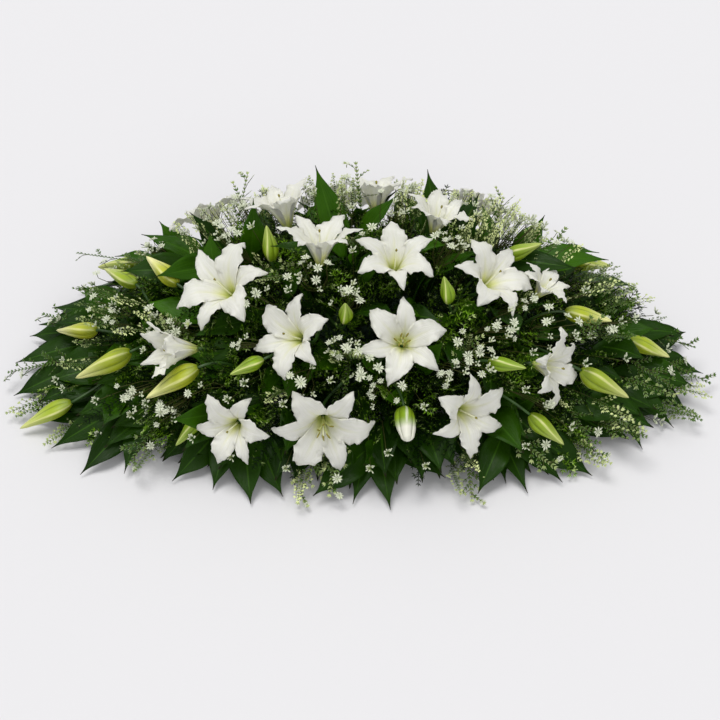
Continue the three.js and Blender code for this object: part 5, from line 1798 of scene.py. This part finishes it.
class Finish:
    """A material in the making: its shader, and short ways to add nodes to it. What is the same
    all over is set on the shader's own sockets."""

    def __init__(self, name, colour, roughness, **more):
        self.material = bpy.data.materials.new(name)
        self.material.use_nodes = True
        self.material.diffuse_color = (*colour[:3], 1)
        self.tree = self.material.node_tree
        self.shader = self.tree.nodes["Principled BSDF"]
        self.shader.inputs["Base Color"].default_value = (*colour[:3], 1)
        self.shader.inputs["Roughness"].default_value = roughness
        for socket, value in more.items():
            self.shader.inputs[socket.replace("_", " ")].default_value = value

    def add(self, kind, inputs, **settings):
        """Adds any node."""
        return add_node(self.tree, kind, inputs, **settings)

    def math(self, operation, first, second=0.0):
        """Works out one value from two."""
        return add_math(self.tree, operation, first, second)

    def plus(self, first, second):
        """Adds two values."""
        return self.math("ADD", first, second)

    def times(self, first, second):
        """Multiplies two values."""
        return self.math("MULTIPLY", first, second)

    def place(self):
        """The point's Object coordinates."""
        return self.add("ShaderNodeTexCoord", {})["Object"]

    def parts(self, vector):
        """The three parts of a vector."""
        parts = self.add("ShaderNodeSeparateXYZ", {"Vector": vector})
        return parts["X"], parts["Y"], parts["Z"]

    def noise(self, scale, detail=3.0, vector=None, stretch=None):
        """Fine variation from 0 to 1, in Object coordinates or along a given vector."""
        vector = vector or self.place()
        if stretch:
            inputs = {"Vector": vector, "Scale": stretch}
            vector = self.add("ShaderNodeMapping", inputs)["Vector"]
        inputs = {"Vector": vector, "Scale": scale, "Detail": detail}
        return self.add("ShaderNodeTexNoise", inputs)["Fac"]

    def range(self, value, low, high, start=0.0, end=1.0):
        """Maps a value smoothly from one range to another."""
        inputs = {0: value, 1: low, 2: high, 3: start, 4: end}
        return self.add("ShaderNodeMapRange", inputs, interpolation_type="SMOOTHSTEP")["Result"]

    def mix(self, share, first, second):
        """Mixes two colours."""
        inputs = {0: share}
        for socket, colour in ((6, first), (7, second)):
            is_linked = isinstance(colour, bpy.types.NodeSocket)
            inputs[socket] = colour if is_linked else (*colour[:3], 1)
        return self.add("ShaderNodeMix", inputs, data_type="RGBA")[2]

    def flow(self):
        """How far across and along its petal or blade a point lies, and its tone."""
        return self.parts(self.add("ShaderNodeAttribute", {}, attribute_name="flow")["Vector"])

    def value(self, name):
        """A value that the mesh carries."""
        return self.add("ShaderNodeAttribute", {}, attribute_name=name)["Fac"]

    def streaks(self, across, along, density, tone):
        """Fine lines that run along a petal or blade, from 0 to 1."""
        parts = {"X": across, "Y": self.times(along, 0.35), "Z": tone}
        vector = self.add("ShaderNodeCombineXYZ", parts)["Vector"]
        return self.noise(density, 2.0, vector)

    def end(self, colour, rough=None, height=None, depth=0.0, strength=1.0):
        """Links the colour, the roughness and a relief of the given depth in metres."""
        self.tree.links.new(colour, self.shader.inputs["Base Color"])
        if rough:
            self.tree.links.new(rough, self.shader.inputs["Roughness"])
        if height:
            inputs = {"Height": height, "Distance": depth, "Strength": strength}
            bumped = self.add("ShaderNodeBump", inputs)["Normal"]
            self.tree.links.new(bumped, self.shader.inputs["Normal"])
        return self.material


# How deep the fine relief of each finish is, in metres
RELIEF = {
    "petal": 0.0007,
    "stem": 0.0002,
    "bud": 0.0004,
    "anther": 0.0004,
    "leaf": 0.0007,
    "fern": 0.0003,
    "filler": 0.0003,
    "foam": 0.0015,
    "tray": 0.0002,
}


def toned(colour, share):
    """A colour made darker or lighter."""
    return tuple(min(1, share * part) for part in colour[:3])


def petal_finish(look):
    """Smooth white petals with a yellow-green throat, faint veins and a soft green blush."""
    new = Finish(
        "Lily petal", look.petal_colour, 0.46, Subsurface_Weight=0.5, Subsurface_Scale=0.006,
        Subsurface_Radius=(1.0, 1.0, 0.8),
    )
    across, along, tone = new.flow()
    edge = new.math("ABSOLUTE", across)
    depth = new.plus(along, new.times(edge, 0.16))
    depth = new.plus(depth, new.times(new.noise(90.0), 0.1))
    throat = new.range(depth, 0.2, 0.54, 1.0, 0.0)
    midrib = new.range(edge, 0.0, 0.2, 0.3, 0.0)
    midrib = new.times(midrib, new.range(along, 0.4, 0.75, 1.0, 0.0))
    streaks = new.streaks(across, along, 13.0, tone)
    veins = new.times(new.range(streaks, 0.42, 0.66), 0.3)
    colour = new.mix(veins, look.petal_colour, look.vein_colour)
    tip = new.times(new.range(along, 0.94, 1.0), 0.35)
    colour = new.mix(tip, colour, look.vein_colour)
    colour = new.mix(new.math("MAXIMUM", throat, midrib), colour, look.throat_colour)
    colour = new.mix(new.range(along, 0.06, 0.24, 0.65, 0.0), colour, look.deep_colour)
    rough = new.range(new.noise(400.0), 0.2, 0.8, 0.38, 0.56)
    height = new.plus(streaks, new.times(new.noise(260.0), 0.4))
    return new.end(colour, rough, height, RELIEF["petal"], 0.8)


def stem_finish(look):
    """Smooth green stems, with faint streaks."""
    new = Finish("Lily stem", look.stem_colour, 0.45)
    streaks = new.range(new.noise(60.0, stretch=(1, 1, 0.3)), 0.3, 0.7)
    colour = new.mix(streaks, toned(look.stem_colour, 0.55), look.stem_colour)
    return new.end(colour, None, new.noise(500.0), RELIEF["stem"])


def bud_finish(look):
    """Closed buds: green at the foot, cream on the ridges and tip, with painted shade darkening their
    seams and their foot.
    """
    new = Finish("Lily bud", look.bud_colour, 0.42)
    seam, along, tone = new.flow()
    pale = new.times(new.range(along, 0.3, 1.0), new.plus(tone, 0.1))
    cream = new.math("MAXIMUM", pale, new.range(seam, 0.02, 0.2, 0.7, 0.0))
    cream = new.times(cream, new.plus(new.times(new.noise(120.0), 0.35), 0.8))
    ripe = new.math("MINIMUM", tone, new.math("SUBTRACT", 2.3, tone))
    green = new.mix(ripe, look.bud_colour, look.ripe_colour)
    white = new.mix(new.range(tone, 1.3, 2.2), look.ridge_colour, look.petal_colour)
    colour = new.mix(cream, green, white)
    # Painted shade: a darker green in the seams between the folds and towards the foot
    shade = toned(look.bud_colour, 0.3)
    colour = new.mix(new.range(seam, 0.84, 0.98, 0.0, 0.6), colour, shade)
    colour = new.mix(new.range(along, 0.0, 0.3, 0.55, 0.0), colour, shade)
    streaks = new.streaks(seam, along, 16.0, tone)
    rough = new.range(streaks, 0.2, 0.8, 0.36, 0.5)
    return new.end(colour, rough, streaks, RELIEF["bud"], 0.6)


def style_finish(look):
    """Pale styles and filaments, greener towards their feet."""
    new = Finish("Lily style", look.style_colour, 0.4)
    noise = new.range(new.noise(300.0), 0.3, 0.7, 0.6, 1.0)
    green = new.times(new.flow()[2], noise)
    return new.end(new.mix(green, look.petal_colour, look.style_colour))


def anther_finish(look):
    """Dark olive anthers and stigmas with a dusting of pollen."""
    new = Finish("Lily anther", look.anther_colour, 0.8)
    dust = new.range(new.noise(1400.0), 0.45, 0.7)
    colour = new.mix(dust, look.anther_colour, toned(look.anther_colour, 2.2))
    return new.end(colour, None, new.noise(1800.0), RELIEF["anther"])


LEAF_TIP_COLOUR = (0.02, 0.014, 0.008)


def leaf_finish(look):
    """Dark glossy leaves with a paler midrib, fine parallel veins, a waxy, uneven gloss, and painted shade
    that darkens them near the floor.
    """
    new = Finish("Glossy leaf", look.leaf_colour, 0.3, Specular_IOR_Level=0.1)
    across, along, tone = new.flow()
    streaks = new.streaks(across, along, 9.0, tone)
    fine = new.streaks(across, along, 30.0, tone)
    cloud = new.range(new.noise(22.0), 0.3, 0.7)
    colour = new.mix(cloud, look.leaf_colour, look.leaf_light)
    veins = new.times(new.range(streaks, 0.4, 0.65), 0.5)
    colour = new.mix(veins, colour, look.leaf_light)
    # Painted shade: leaves turn darker the nearer they come to the floor; some leaves are also darker at
    # random by their tone
    low = new.range(new.parts(new.place())[2], 0.02, 0.18, 0.82, 0.0)
    colour = new.mix(new.math("MAXIMUM", new.times(tone, 0.95), low), colour, look.leaf_dark_and_shade)
    rib = new.range(new.math("ABSOLUTE", across), 0.02, 0.09, 0.55, 0.0)
    colour = new.mix(rib, colour, look.rib_colour)
    colour = new.mix(new.range(along, 0.9, 0.98, 0.0, 0.85), colour, LEAF_TIP_COLOUR)
    rough = new.range(new.plus(fine, new.noise(55.0)), 0.7, 1.3, 0.24, 0.46)
    height = new.plus(streaks, new.times(fine, 0.5))
    height = new.plus(height, new.times(new.noise(90.0), 0.7))
    return new.end(colour, rough, height, RELIEF["leaf"], 0.8)


def fern_finish(look):
    """Fine greenery: painted shade makes it nearly black inside, and painted light makes it brighter
    towards the tips of the twigs.
    """
    new = Finish("Fern", look.fern_shade_colour, 0.55, Specular_IOR_Level=0.06)
    share = new.value("share")
    # Painted light and shade: lighter towards the twigs' tips and on the outer layers, whose shade value
    # is high, with a random speckle; darkest deep inside
    light = new.plus(new.times(share, 0.5), new.value("shade"))
    light = new.plus(light, new.range(new.noise(210.0), 0.35, 0.65, 0.0, 0.75))
    light = new.range(light, 0.9, 2.0)
    colour = new.mix(light, look.fern_shade_colour, look.fern_light)
    pale = new.times(new.range(share, 0.8, 0.95), light)
    pale = new.times(pale, new.range(new.noise(130.0), 0.5, 0.62))
    colour = new.mix(pale, colour, look.fern_pale)
    rough = new.range(new.noise(70.0), 0.3, 0.7, 0.42, 0.62)
    return new.end(colour, rough, new.noise(900.0), RELIEF["fern"])


def filler_finish(look):
    """Filler sprigs: brown stems, pale yellow-green leaflets, white petals, green centres."""
    new = Finish("Filler", look.filler_colour, 0.55, Specular_IOR_Level=0.2)
    tint = new.value("tint")
    noise = new.noise(110.0)
    light = new.plus(new.value("share"), new.times(new.value("shade"), 0.6))
    light = new.plus(light, new.times(noise, 0.6))
    aside = new.math("ABSOLUTE", new.parts(new.place())[0])
    light = new.math("SUBTRACT", light, new.range(aside, 0.2, 0.42, 0.0, 0.4))
    leaf = new.mix(new.range(light, 0.9, 1.75), look.filler_colour, look.filler_light)
    colour = new.mix(new.range(tint, 0.05, 0.3), look.twig_colour, leaf)
    colour = new.mix(new.range(tint, 0.55, 0.7, 0.0, 0.6), colour, look.floret_colour)
    colour = new.mix(new.range(tint, 0.76, 0.84), colour, look.floret_colour)
    rough = new.range(noise, 0.3, 0.7, 0.45, 0.65)
    return new.end(colour, rough, new.noise(900.0), RELIEF["filler"])


def foam_finish(look):
    """Soaked green floral foam: fine open pores."""
    new = Finish("Wet floral foam", look.foam_colour, 0.75)
    coarse = new.noise(900.0, 4.0)
    dark = toned(look.foam_colour, 0.45)
    colour = new.mix(new.range(coarse, 0.35, 0.6), dark, look.foam_colour)
    colour = new.mix(new.range(new.noise(30.0), 0.35, 0.7, 0.0, 0.4), colour, dark)
    return new.end(colour, None, coarse, RELIEF["foam"])


def tray_finish(look):
    """Moulded green plastic, with a fine matt texture and light scuffs."""
    new = Finish("Moulded tray", look.tray_colour, 0.45)
    scuffs = new.noise(45.0, 6.0, stretch=(1, 6, 1))
    worn = new.range(scuffs, 0.5, 0.75, 0.0, 0.5)
    colour = new.mix(worn, look.tray_colour, toned(look.tray_colour, 1.5))
    rough = new.range(scuffs, 0.35, 0.7, 0.36, 0.6)
    return new.end(colour, rough, new.noise(1200.0), RELIEF["tray"])


def floor_finish(look):
    """A plain pale studio floor with a trace of unevenness."""
    new = Finish("Studio floor", look.floor_colour, 0.85, Specular_IOR_Level=0.1)
    noise = new.range(new.noise(1.5), 0.2, 0.8, 0.0, 0.15)
    return new.end(new.mix(noise, look.floor_colour, toned(look.floor_colour, 0.98)))


def size_of(name, description, default, least, most):
    """A length in metres that a user may change."""
    settings = {"min": least, "max": most, "unit": "LENGTH", "precision": 5}
    return FloatProperty(name=name, description=description, default=default, **settings)


def share_of(name, description, default, least, most):
    """A plain number that a user may change."""
    return FloatProperty(name=name, description=description, default=default, min=least, max=most)


def count_of(name, description, default, most):
    """A whole number that a user may change."""
    return IntProperty(name=name, description=description, default=default, min=0, max=most)


def colour_of(name, description, default):
    """A colour that a user may change."""
    settings = {"subtype": "COLOR", "size": 3, "min": 0.0, "max": 1.0}
    return FloatVectorProperty(name=name, description=description, default=default, **settings)


class SPRAY_PG_lilies(bpy.types.PropertyGroup):
    """Sizes and colours of the lilies, their buds and stalks."""

    thickness: size_of("Petal Thickness", "How thick a petal is at its foot", 0.0011, 0.0006, 0.003)
    ruffle: size_of("Ruffle Height", "How far a petal's rim waves up and down", 0.0038, 0.0, 0.006)
    ruffles: share_of("Ruffles", "How many waves run along a petal's rim", 3.0, 0.0, 8.0)
    frills: share_of("Frills", "How many fine waves run along a petal's rim", 8.0, 0.0, 20.0)
    tip_curl: size_of("Tip Curl", "How far a petal's tip bends back", 0.006, 0.0, 0.02)
    sweep: size_of("Sweep", "How far a petal's tip may bend sideways", 0.018, 0.0, 0.03)
    groove: size_of("Groove Depth", "How deep the groove along a petal runs", 0.0012, 0.0, 0.003)
    petal_colour: colour_of("Petal", "The white of the petals", (0.865, 0.86, 0.735))
    vein_colour: colour_of("Vein", "The tint of the petals' veins and tips", (0.74, 0.76, 0.56))
    throat_colour: colour_of("Throat", "The glow inside the throat", (0.76, 0.78, 0.3))
    deep_colour: colour_of("Deep Throat", "The foot of the petals", (0.36, 0.46, 0.05))
    stem_colour: colour_of("Stem", "The green of the stalks", (0.03, 0.085, 0.009))
    ripe_colour: colour_of("Ripe Bud", "The yellower green of the buds about to open", (0.45, 0.49, 0.02))
    bud_colour: colour_of("Bud", "The green of the closed buds", (0.22, 0.38, 0.008))
    ridge_colour: colour_of("Bud Ridge", "The cream on the buds' ridges", (0.88, 0.86, 0.4))
    style_colour: colour_of("Style", "The yellow-green filaments", (0.5, 0.54, 0.09))
    anther_colour: colour_of("Anther", "The anthers and the stigma", (0.19, 0.17, 0.02))


class SPRAY_PG_leaves(bpy.types.PropertyGroup):
    """Sizes and colours of the glossy leaves."""

    filling_leaves: count_of("Filling Leaves", "How many leaves fill the gaps", 120, 400)
    under_leaves: count_of("Under Leaves", "How many leaves lie deep inside", 230, 400)
    leaf_colour: colour_of("Leaf", "The green of the leaves", (0.026, 0.092, 0.0006))
    leaf_light: colour_of("Light Leaf", "The lighter streaks in the leaves", (0.045, 0.142, 0.0012))
    # The darkest leaves: the own darker tone of some leaves, and painted shade near the floor
    leaf_dark_and_shade: colour_of("Dark Leaf", "The darkest of the leaves", (0.006, 0.022, 0.001))
    rib_colour: colour_of("Midrib", "The leaves' midribs", (0.045, 0.13, 0.006))


class SPRAY_PG_ferns(bpy.types.PropertyGroup):
    """Sizes and colours of the fine greenery."""

    fern_stems: count_of("Stems", "How many stems carry fine sprigs", 255, 800)
    sprigs_on_stem: count_of("Sprigs on a Stem", "How many sprigs each stem carries", 5, 20)
    sprig_length: size_of("Sprig Length", "How long a fine sprig is", 0.064, 0.02, 0.15)
    leaflet: size_of("Leaflet", "How long a leaflet is", 0.0066, 0.002, 0.02)
    spacing: size_of("Leaflet Spacing", "How far apart the pairs of leaflets are", 0.0054, 0.002, 0.02)
    twig: size_of("Twig", "The radius of a twig", 0.0004, 0.0002, 0.002)
    stem: size_of("Stem", "The radius of a stem", 0.0009, 0.0003, 0.003)
    # Painted shade and light: a near-black green where the fine greenery lies deep in shade, and a bright
    # green where its tips catch the light
    fern_shade_colour: colour_of("Fern", "The darkest green inside", (0.002, 0.009, 0.001))
    fern_light: colour_of("Fern Tips", "The bright green of the tips", (0.14, 0.29, 0.012))
    fern_pale: colour_of("Pale Tips", "The cream of the palest tips", (0.56, 0.69, 0.27))


class SPRAY_PG_fillers(bpy.types.PropertyGroup):
    """Sizes and colours of the pale filler sprigs and their small flowers."""

    feathers: count_of("Feathers", "How many pale sprigs there are", 190, 500)
    feather_length: size_of("Feather Length", "How long a pale sprig is", 0.068, 0.02, 0.2)
    leaflet: size_of("Leaflet", "How long a pale leaflet is", 0.0048, 0.002, 0.02)
    spacing: size_of("Leaflet Spacing", "How far apart the pairs of leaflets are", 0.0042, 0.002, 0.02)
    twig: size_of("Twig", "The radius of a twig", 0.0003, 0.0002, 0.002)
    stem: size_of("Stem", "The radius of a stem", 0.0005, 0.0003, 0.003)
    floret: size_of("Floret", "The radius of a star flower", 0.008, 0.003, 0.02)
    florets_in_cluster: count_of("Florets", "How many star flowers a cluster has", 6, 12)
    cluster_width: size_of("Cluster Width", "How wide a cluster is", 0.04, 0.01, 0.1)
    lace: count_of("Lace", "How many heads of tiny white buds there are", 240, 500)
    rear_clusters: count_of("Rear Clusters", "How many clusters sit behind", 20, 80)
    filler_colour: colour_of("Leaflets", "The duller green of the leaflets", (0.055, 0.12, 0.012))
    filler_light: colour_of("Leaflet Tips", "The pale green of the leaflets", (0.73, 0.81, 0.36))
    twig_colour: colour_of("Twigs", "The brown of the twigs", (0.06, 0.065, 0.016))
    floret_colour: colour_of("Star Flowers", "The white of the star flowers", (0.62, 0.66, 0.5))


class SPRAY_PG_holder(bpy.types.PropertyGroup):
    """Colours of the foam and its tray."""

    foam_colour: colour_of("Foam", "The soaked foam", (0.02, 0.06, 0.025))
    tray_colour: colour_of("Tray", "The tray under the foam", (0.02, 0.05, 0.03))


class SPRAY_PG_studio(bpy.types.PropertyGroup):
    """The floor, the lights and the camera."""

    floor_colour: colour_of("Floor", "The plain pale floor", (0.725, 0.722, 0.742))
    sky: share_of("Fill Light", "The strength of the light from all round", 0.5, 0.0, 5.0)
    sun: share_of("Main Light", "The strength of the soft main light", 1.95, 0.0, 20.0)
    front: share_of("Front Light", "The strength of the soft light from the front", 0.58, 0.0, 20.0)
    softness: FloatProperty(
        name="Softness", description="How wide the main light is", default=math.radians(32),
        min=0.0, max=math.pi, subtype="ANGLE", unit="ROTATION",
    )
    distance: size_of("Camera Distance", "From the camera to the spray's middle", 2.6, 0.5, 20.0)
    elevation: FloatProperty(
        name="Camera Height", description="The angle at which the camera looks down",
        default=math.radians(45), min=0.0, max=math.pi / 2, subtype="ANGLE", unit="ROTATION",
    )
    lens: share_of("Lens", "Focal length in millimetres", 86.65, 10.0, 300.0)


GROUPS = {
    "spray_lilies": SPRAY_PG_lilies,
    "spray_leaves": SPRAY_PG_leaves,
    "spray_ferns": SPRAY_PG_ferns,
    "spray_fillers": SPRAY_PG_fillers,
    "spray_holder": SPRAY_PG_holder,
    "spray_studio": SPRAY_PG_studio,
}


# Half the width of the floor, where each lamp's light comes from, and the colours of the light
FAR = 40.0
LAMPS = {"Main light": (-0.2, 0.1, 1.0), "Front light": (0.25, -1.0, 0.75)}
LAMP_COLOUR = (1.0, 0.985, 0.96)
SKY_COLOUR = (0.97, 0.98, 1.0, 1)
# Two of the photo's 720 pixels
CAMERA_SHIFT = 2 / 720


class SPRAY_OT_studio(bpy.types.Operator):
    """Sets up the pale floor, the soft lights and the camera"""

    bl_idname = "spray.studio"
    bl_label = "Studio"

    def execute(self, context):
        look = context.scene.spray_studio
        corners = [(FAR * x, FAR * y, 0) for x, y in ((-1, -1), (1, -1), (1, 1), (-1, 1))]
        made = plain_mesh("studio_floor", corners, [], [(0, 1, 2, 3)])
        made.materials.append(floor_finish(look))
        link_object("studio_floor", made)

        world = bpy.data.worlds.new("Studio")
        world.use_nodes = True
        background = world.node_tree.nodes["Background"]
        background.inputs["Color"].default_value = SKY_COLOUR
        background.inputs["Strength"].default_value = look.sky
        context.scene.world = world

        for name, energy in (("Main light", look.sun), ("Front light", look.front)):
            light = bpy.data.lights.new(name, "SUN")
            light.energy = energy
            light.angle = look.softness
            light.color = LAMP_COLOUR
            lamp = link_object(name, light)
            lamp.rotation_euler = Vector(LAMPS[name]).to_track_quat("Z", "Y").to_euler()

        camera = bpy.data.cameras.new("Camera")
        camera.lens = look.lens
        camera.sensor_width = 36.0
        camera.shift_y = CAMERA_SHIFT
        away = Vector((0, -math.cos(look.elevation), math.sin(look.elevation)))
        holder = link_object("Camera", camera)
        holder.location = away * look.distance
        holder.rotation_euler = away.to_track_quat("Z", "Y").to_euler()
        context.scene.camera = holder
        context.scene.view_settings.view_transform = "Standard"
        return {"FINISHED"}


class SPRAY_OT_holder(bpy.types.Operator):
    """Gives the foam block and its tray their finishes"""

    bl_idname = "spray.holder"
    bl_label = "Foam and Tray"

    def execute(self, context):
        look = context.scene.spray_holder
        finishes = {"foam_block": foam_finish(look), "holder_tray": tray_finish(look)}
        for name, finish in finishes.items():
            for place in frame["nodes"][name].material_slots:
                place.material = finish
        return {"FINISHED"}


class SPRAY_OT_lilies(bpy.types.Operator):
    """Lays the petals of every open lily"""

    bl_idname = "spray.lilies"
    bl_label = "Lily Petals"

    def execute(self, context):
        look = context.scene.spray_lilies
        finish = petal_finish(look)
        for name in BLOOMS:
            made = lay_petals(Bloom(name), look).mesh(f"bloom_{name}")
            dress(f"bloom_{name}", made, [finish], "petal", f"lily_{name}")
        return {"FINISHED"}


class SPRAY_OT_stalks(bpy.types.Operator):
    """Makes the lily stalks with their closed buds and the hearts of the open lilies"""

    bl_idname = "spray.stalks"
    bl_label = "Stalks and Buds"

    def execute(self, context):
        look = context.scene.spray_lilies
        finishes = [stem_finish(look), bud_finish(look), style_finish(look), anther_finish(look)]
        for name in STALKS:
            made = build_stalk(name).mesh(f"buds_{name}")
            dress(f"buds_{name}", made, finishes, "bud", f"stalk_{name}")
        return {"FINISHED"}


class SPRAY_OT_leaves(bpy.types.Operator):
    """Makes the glossy leaves of every branch, and those that fill the inside"""

    bl_idname = "spray.leaves"
    bl_label = "Glossy Leaves"

    def execute(self, context):
        look = context.scene.spray_leaves
        finish = leaf_finish(look)
        inside = filling_leaves(look, Clearings())
        for order, name in enumerate(BRANCHES):
            form = build_branch(name, order)
            for seed, leaf in inside[name]:
                add_leaf(form, leaf, seed, COARSE_CUTS)
            made = form.mesh(f"foliage_{name}")
            dress(f"foliage_{name}", made, [finish], "leaf", f"leaves_{name}")
        return {"FINISHED"}


class SPRAY_OT_ferns(bpy.types.Operator):
    """Grows the fine greenery: the fern fronds, and sprigs that fill the whole dome"""

    bl_idname = "spray.ferns"
    bl_label = "Fine Greenery"

    def execute(self, context):
        look = context.scene.spray_ferns
        grower = Grower("fern", look, fern_finish(look))
        grower.keep_sprigs(look.sprig_length, 5, 0.38)
        plantings = plant_ferns(look, Clearings())
        for order, name in enumerate(FERNS):
            lines = Lines()
            for frond in find_fronds(name, order):
                frond_lines(lines, *frond)
            grower.piece(name, order, lines, plantings[name])
        grower.put_away()
        return {"FINISHED"}


STAR_SIZES = (1.0, 0.85, 0.65)
# The heads of tiny buds in a cluster and in the lace: a bud's radius, how many, how wide, seed
BEAD_HEADS = ((0.0013, 7, 1.2, 4), (0.001, 17, 2.4, 6))


class SPRAY_OT_fillers(bpy.types.Operator):
    """Grows the pale filler sprigs, the small star flowers and their tiny buds"""

    bl_idname = "spray.fillers"
    bl_label = "Filler Flowers"

    def execute(self, context):
        look = context.scene.spray_fillers
        grower = Grower("filler", look, filler_finish(look))
        for kind, size in enumerate(STAR_SIZES):
            grower.keep(star_mesh(look.floret * size, kind))
        for heads in BEAD_HEADS:
            grower.keep(bead_mesh(*heads))
        grower.keep_sprigs(look.feather_length, 8, 0.22)
        clearings = Clearings()
        plantings = plant_fillers(look, clearings)
        for order, name in enumerate(FILLERS):
            lines = Lines()
            for pose, twigs in find_sprigs(name, order):
                sprig_twigs(lines, plantings[name], clearings, *pose, twigs)
            grower.piece(name, order, lines, plantings[name])
        grower.put_away()
        return {"FINISHED"}


class SPRAY_PT_panel(bpy.types.Panel):
    """Lists the spray's pieces, and the sizes and colours that they are made with"""

    bl_idname = "SPRAY_PT_panel"
    bl_label = "Casket Spray"
    bl_space_type = "VIEW_3D"
    bl_region_type = "UI"
    bl_category = "Spray"

    def draw(self, context):
        for operator, group in STEPS:
            box = self.layout.box()
            box.operator(operator.bl_idname)
            values = getattr(context.scene, group)
            for name in values.__annotations__:
                box.prop(values, name)


STEPS = (
    (SPRAY_OT_studio, "spray_studio"),
    (SPRAY_OT_holder, "spray_holder"),
    (SPRAY_OT_lilies, "spray_lilies"),
    (SPRAY_OT_stalks, "spray_lilies"),
    (SPRAY_OT_leaves, "spray_leaves"),
    (SPRAY_OT_ferns, "spray_ferns"),
    (SPRAY_OT_fillers, "spray_fillers"),
)


def register():
    """Makes the groups, operators and panel known to Blender."""
    for name, group in GROUPS.items():
        bpy.utils.register_class(group)
        setattr(bpy.types.Scene, name, PointerProperty(type=group))
    for operator, _ in STEPS:
        bpy.utils.register_class(operator)
    bpy.utils.register_class(SPRAY_PT_panel)


def unregister():
    """Takes them out again."""
    bpy.utils.unregister_class(SPRAY_PT_panel)
    for operator, _ in reversed(STEPS):
        bpy.utils.unregister_class(operator)
    for name, group in reversed(GROUPS.items()):
        delattr(bpy.types.Scene, name)
        bpy.utils.unregister_class(group)


def main():
    """Makes every piece in turn."""
    register()
    bpy.ops.spray.studio()
    bpy.ops.spray.holder()
    bpy.ops.spray.lilies()
    bpy.ops.spray.stalks()
    bpy.ops.spray.leaves()
    bpy.ops.spray.ferns()
    bpy.ops.spray.fillers()


if __name__ == "__main__":
    main()
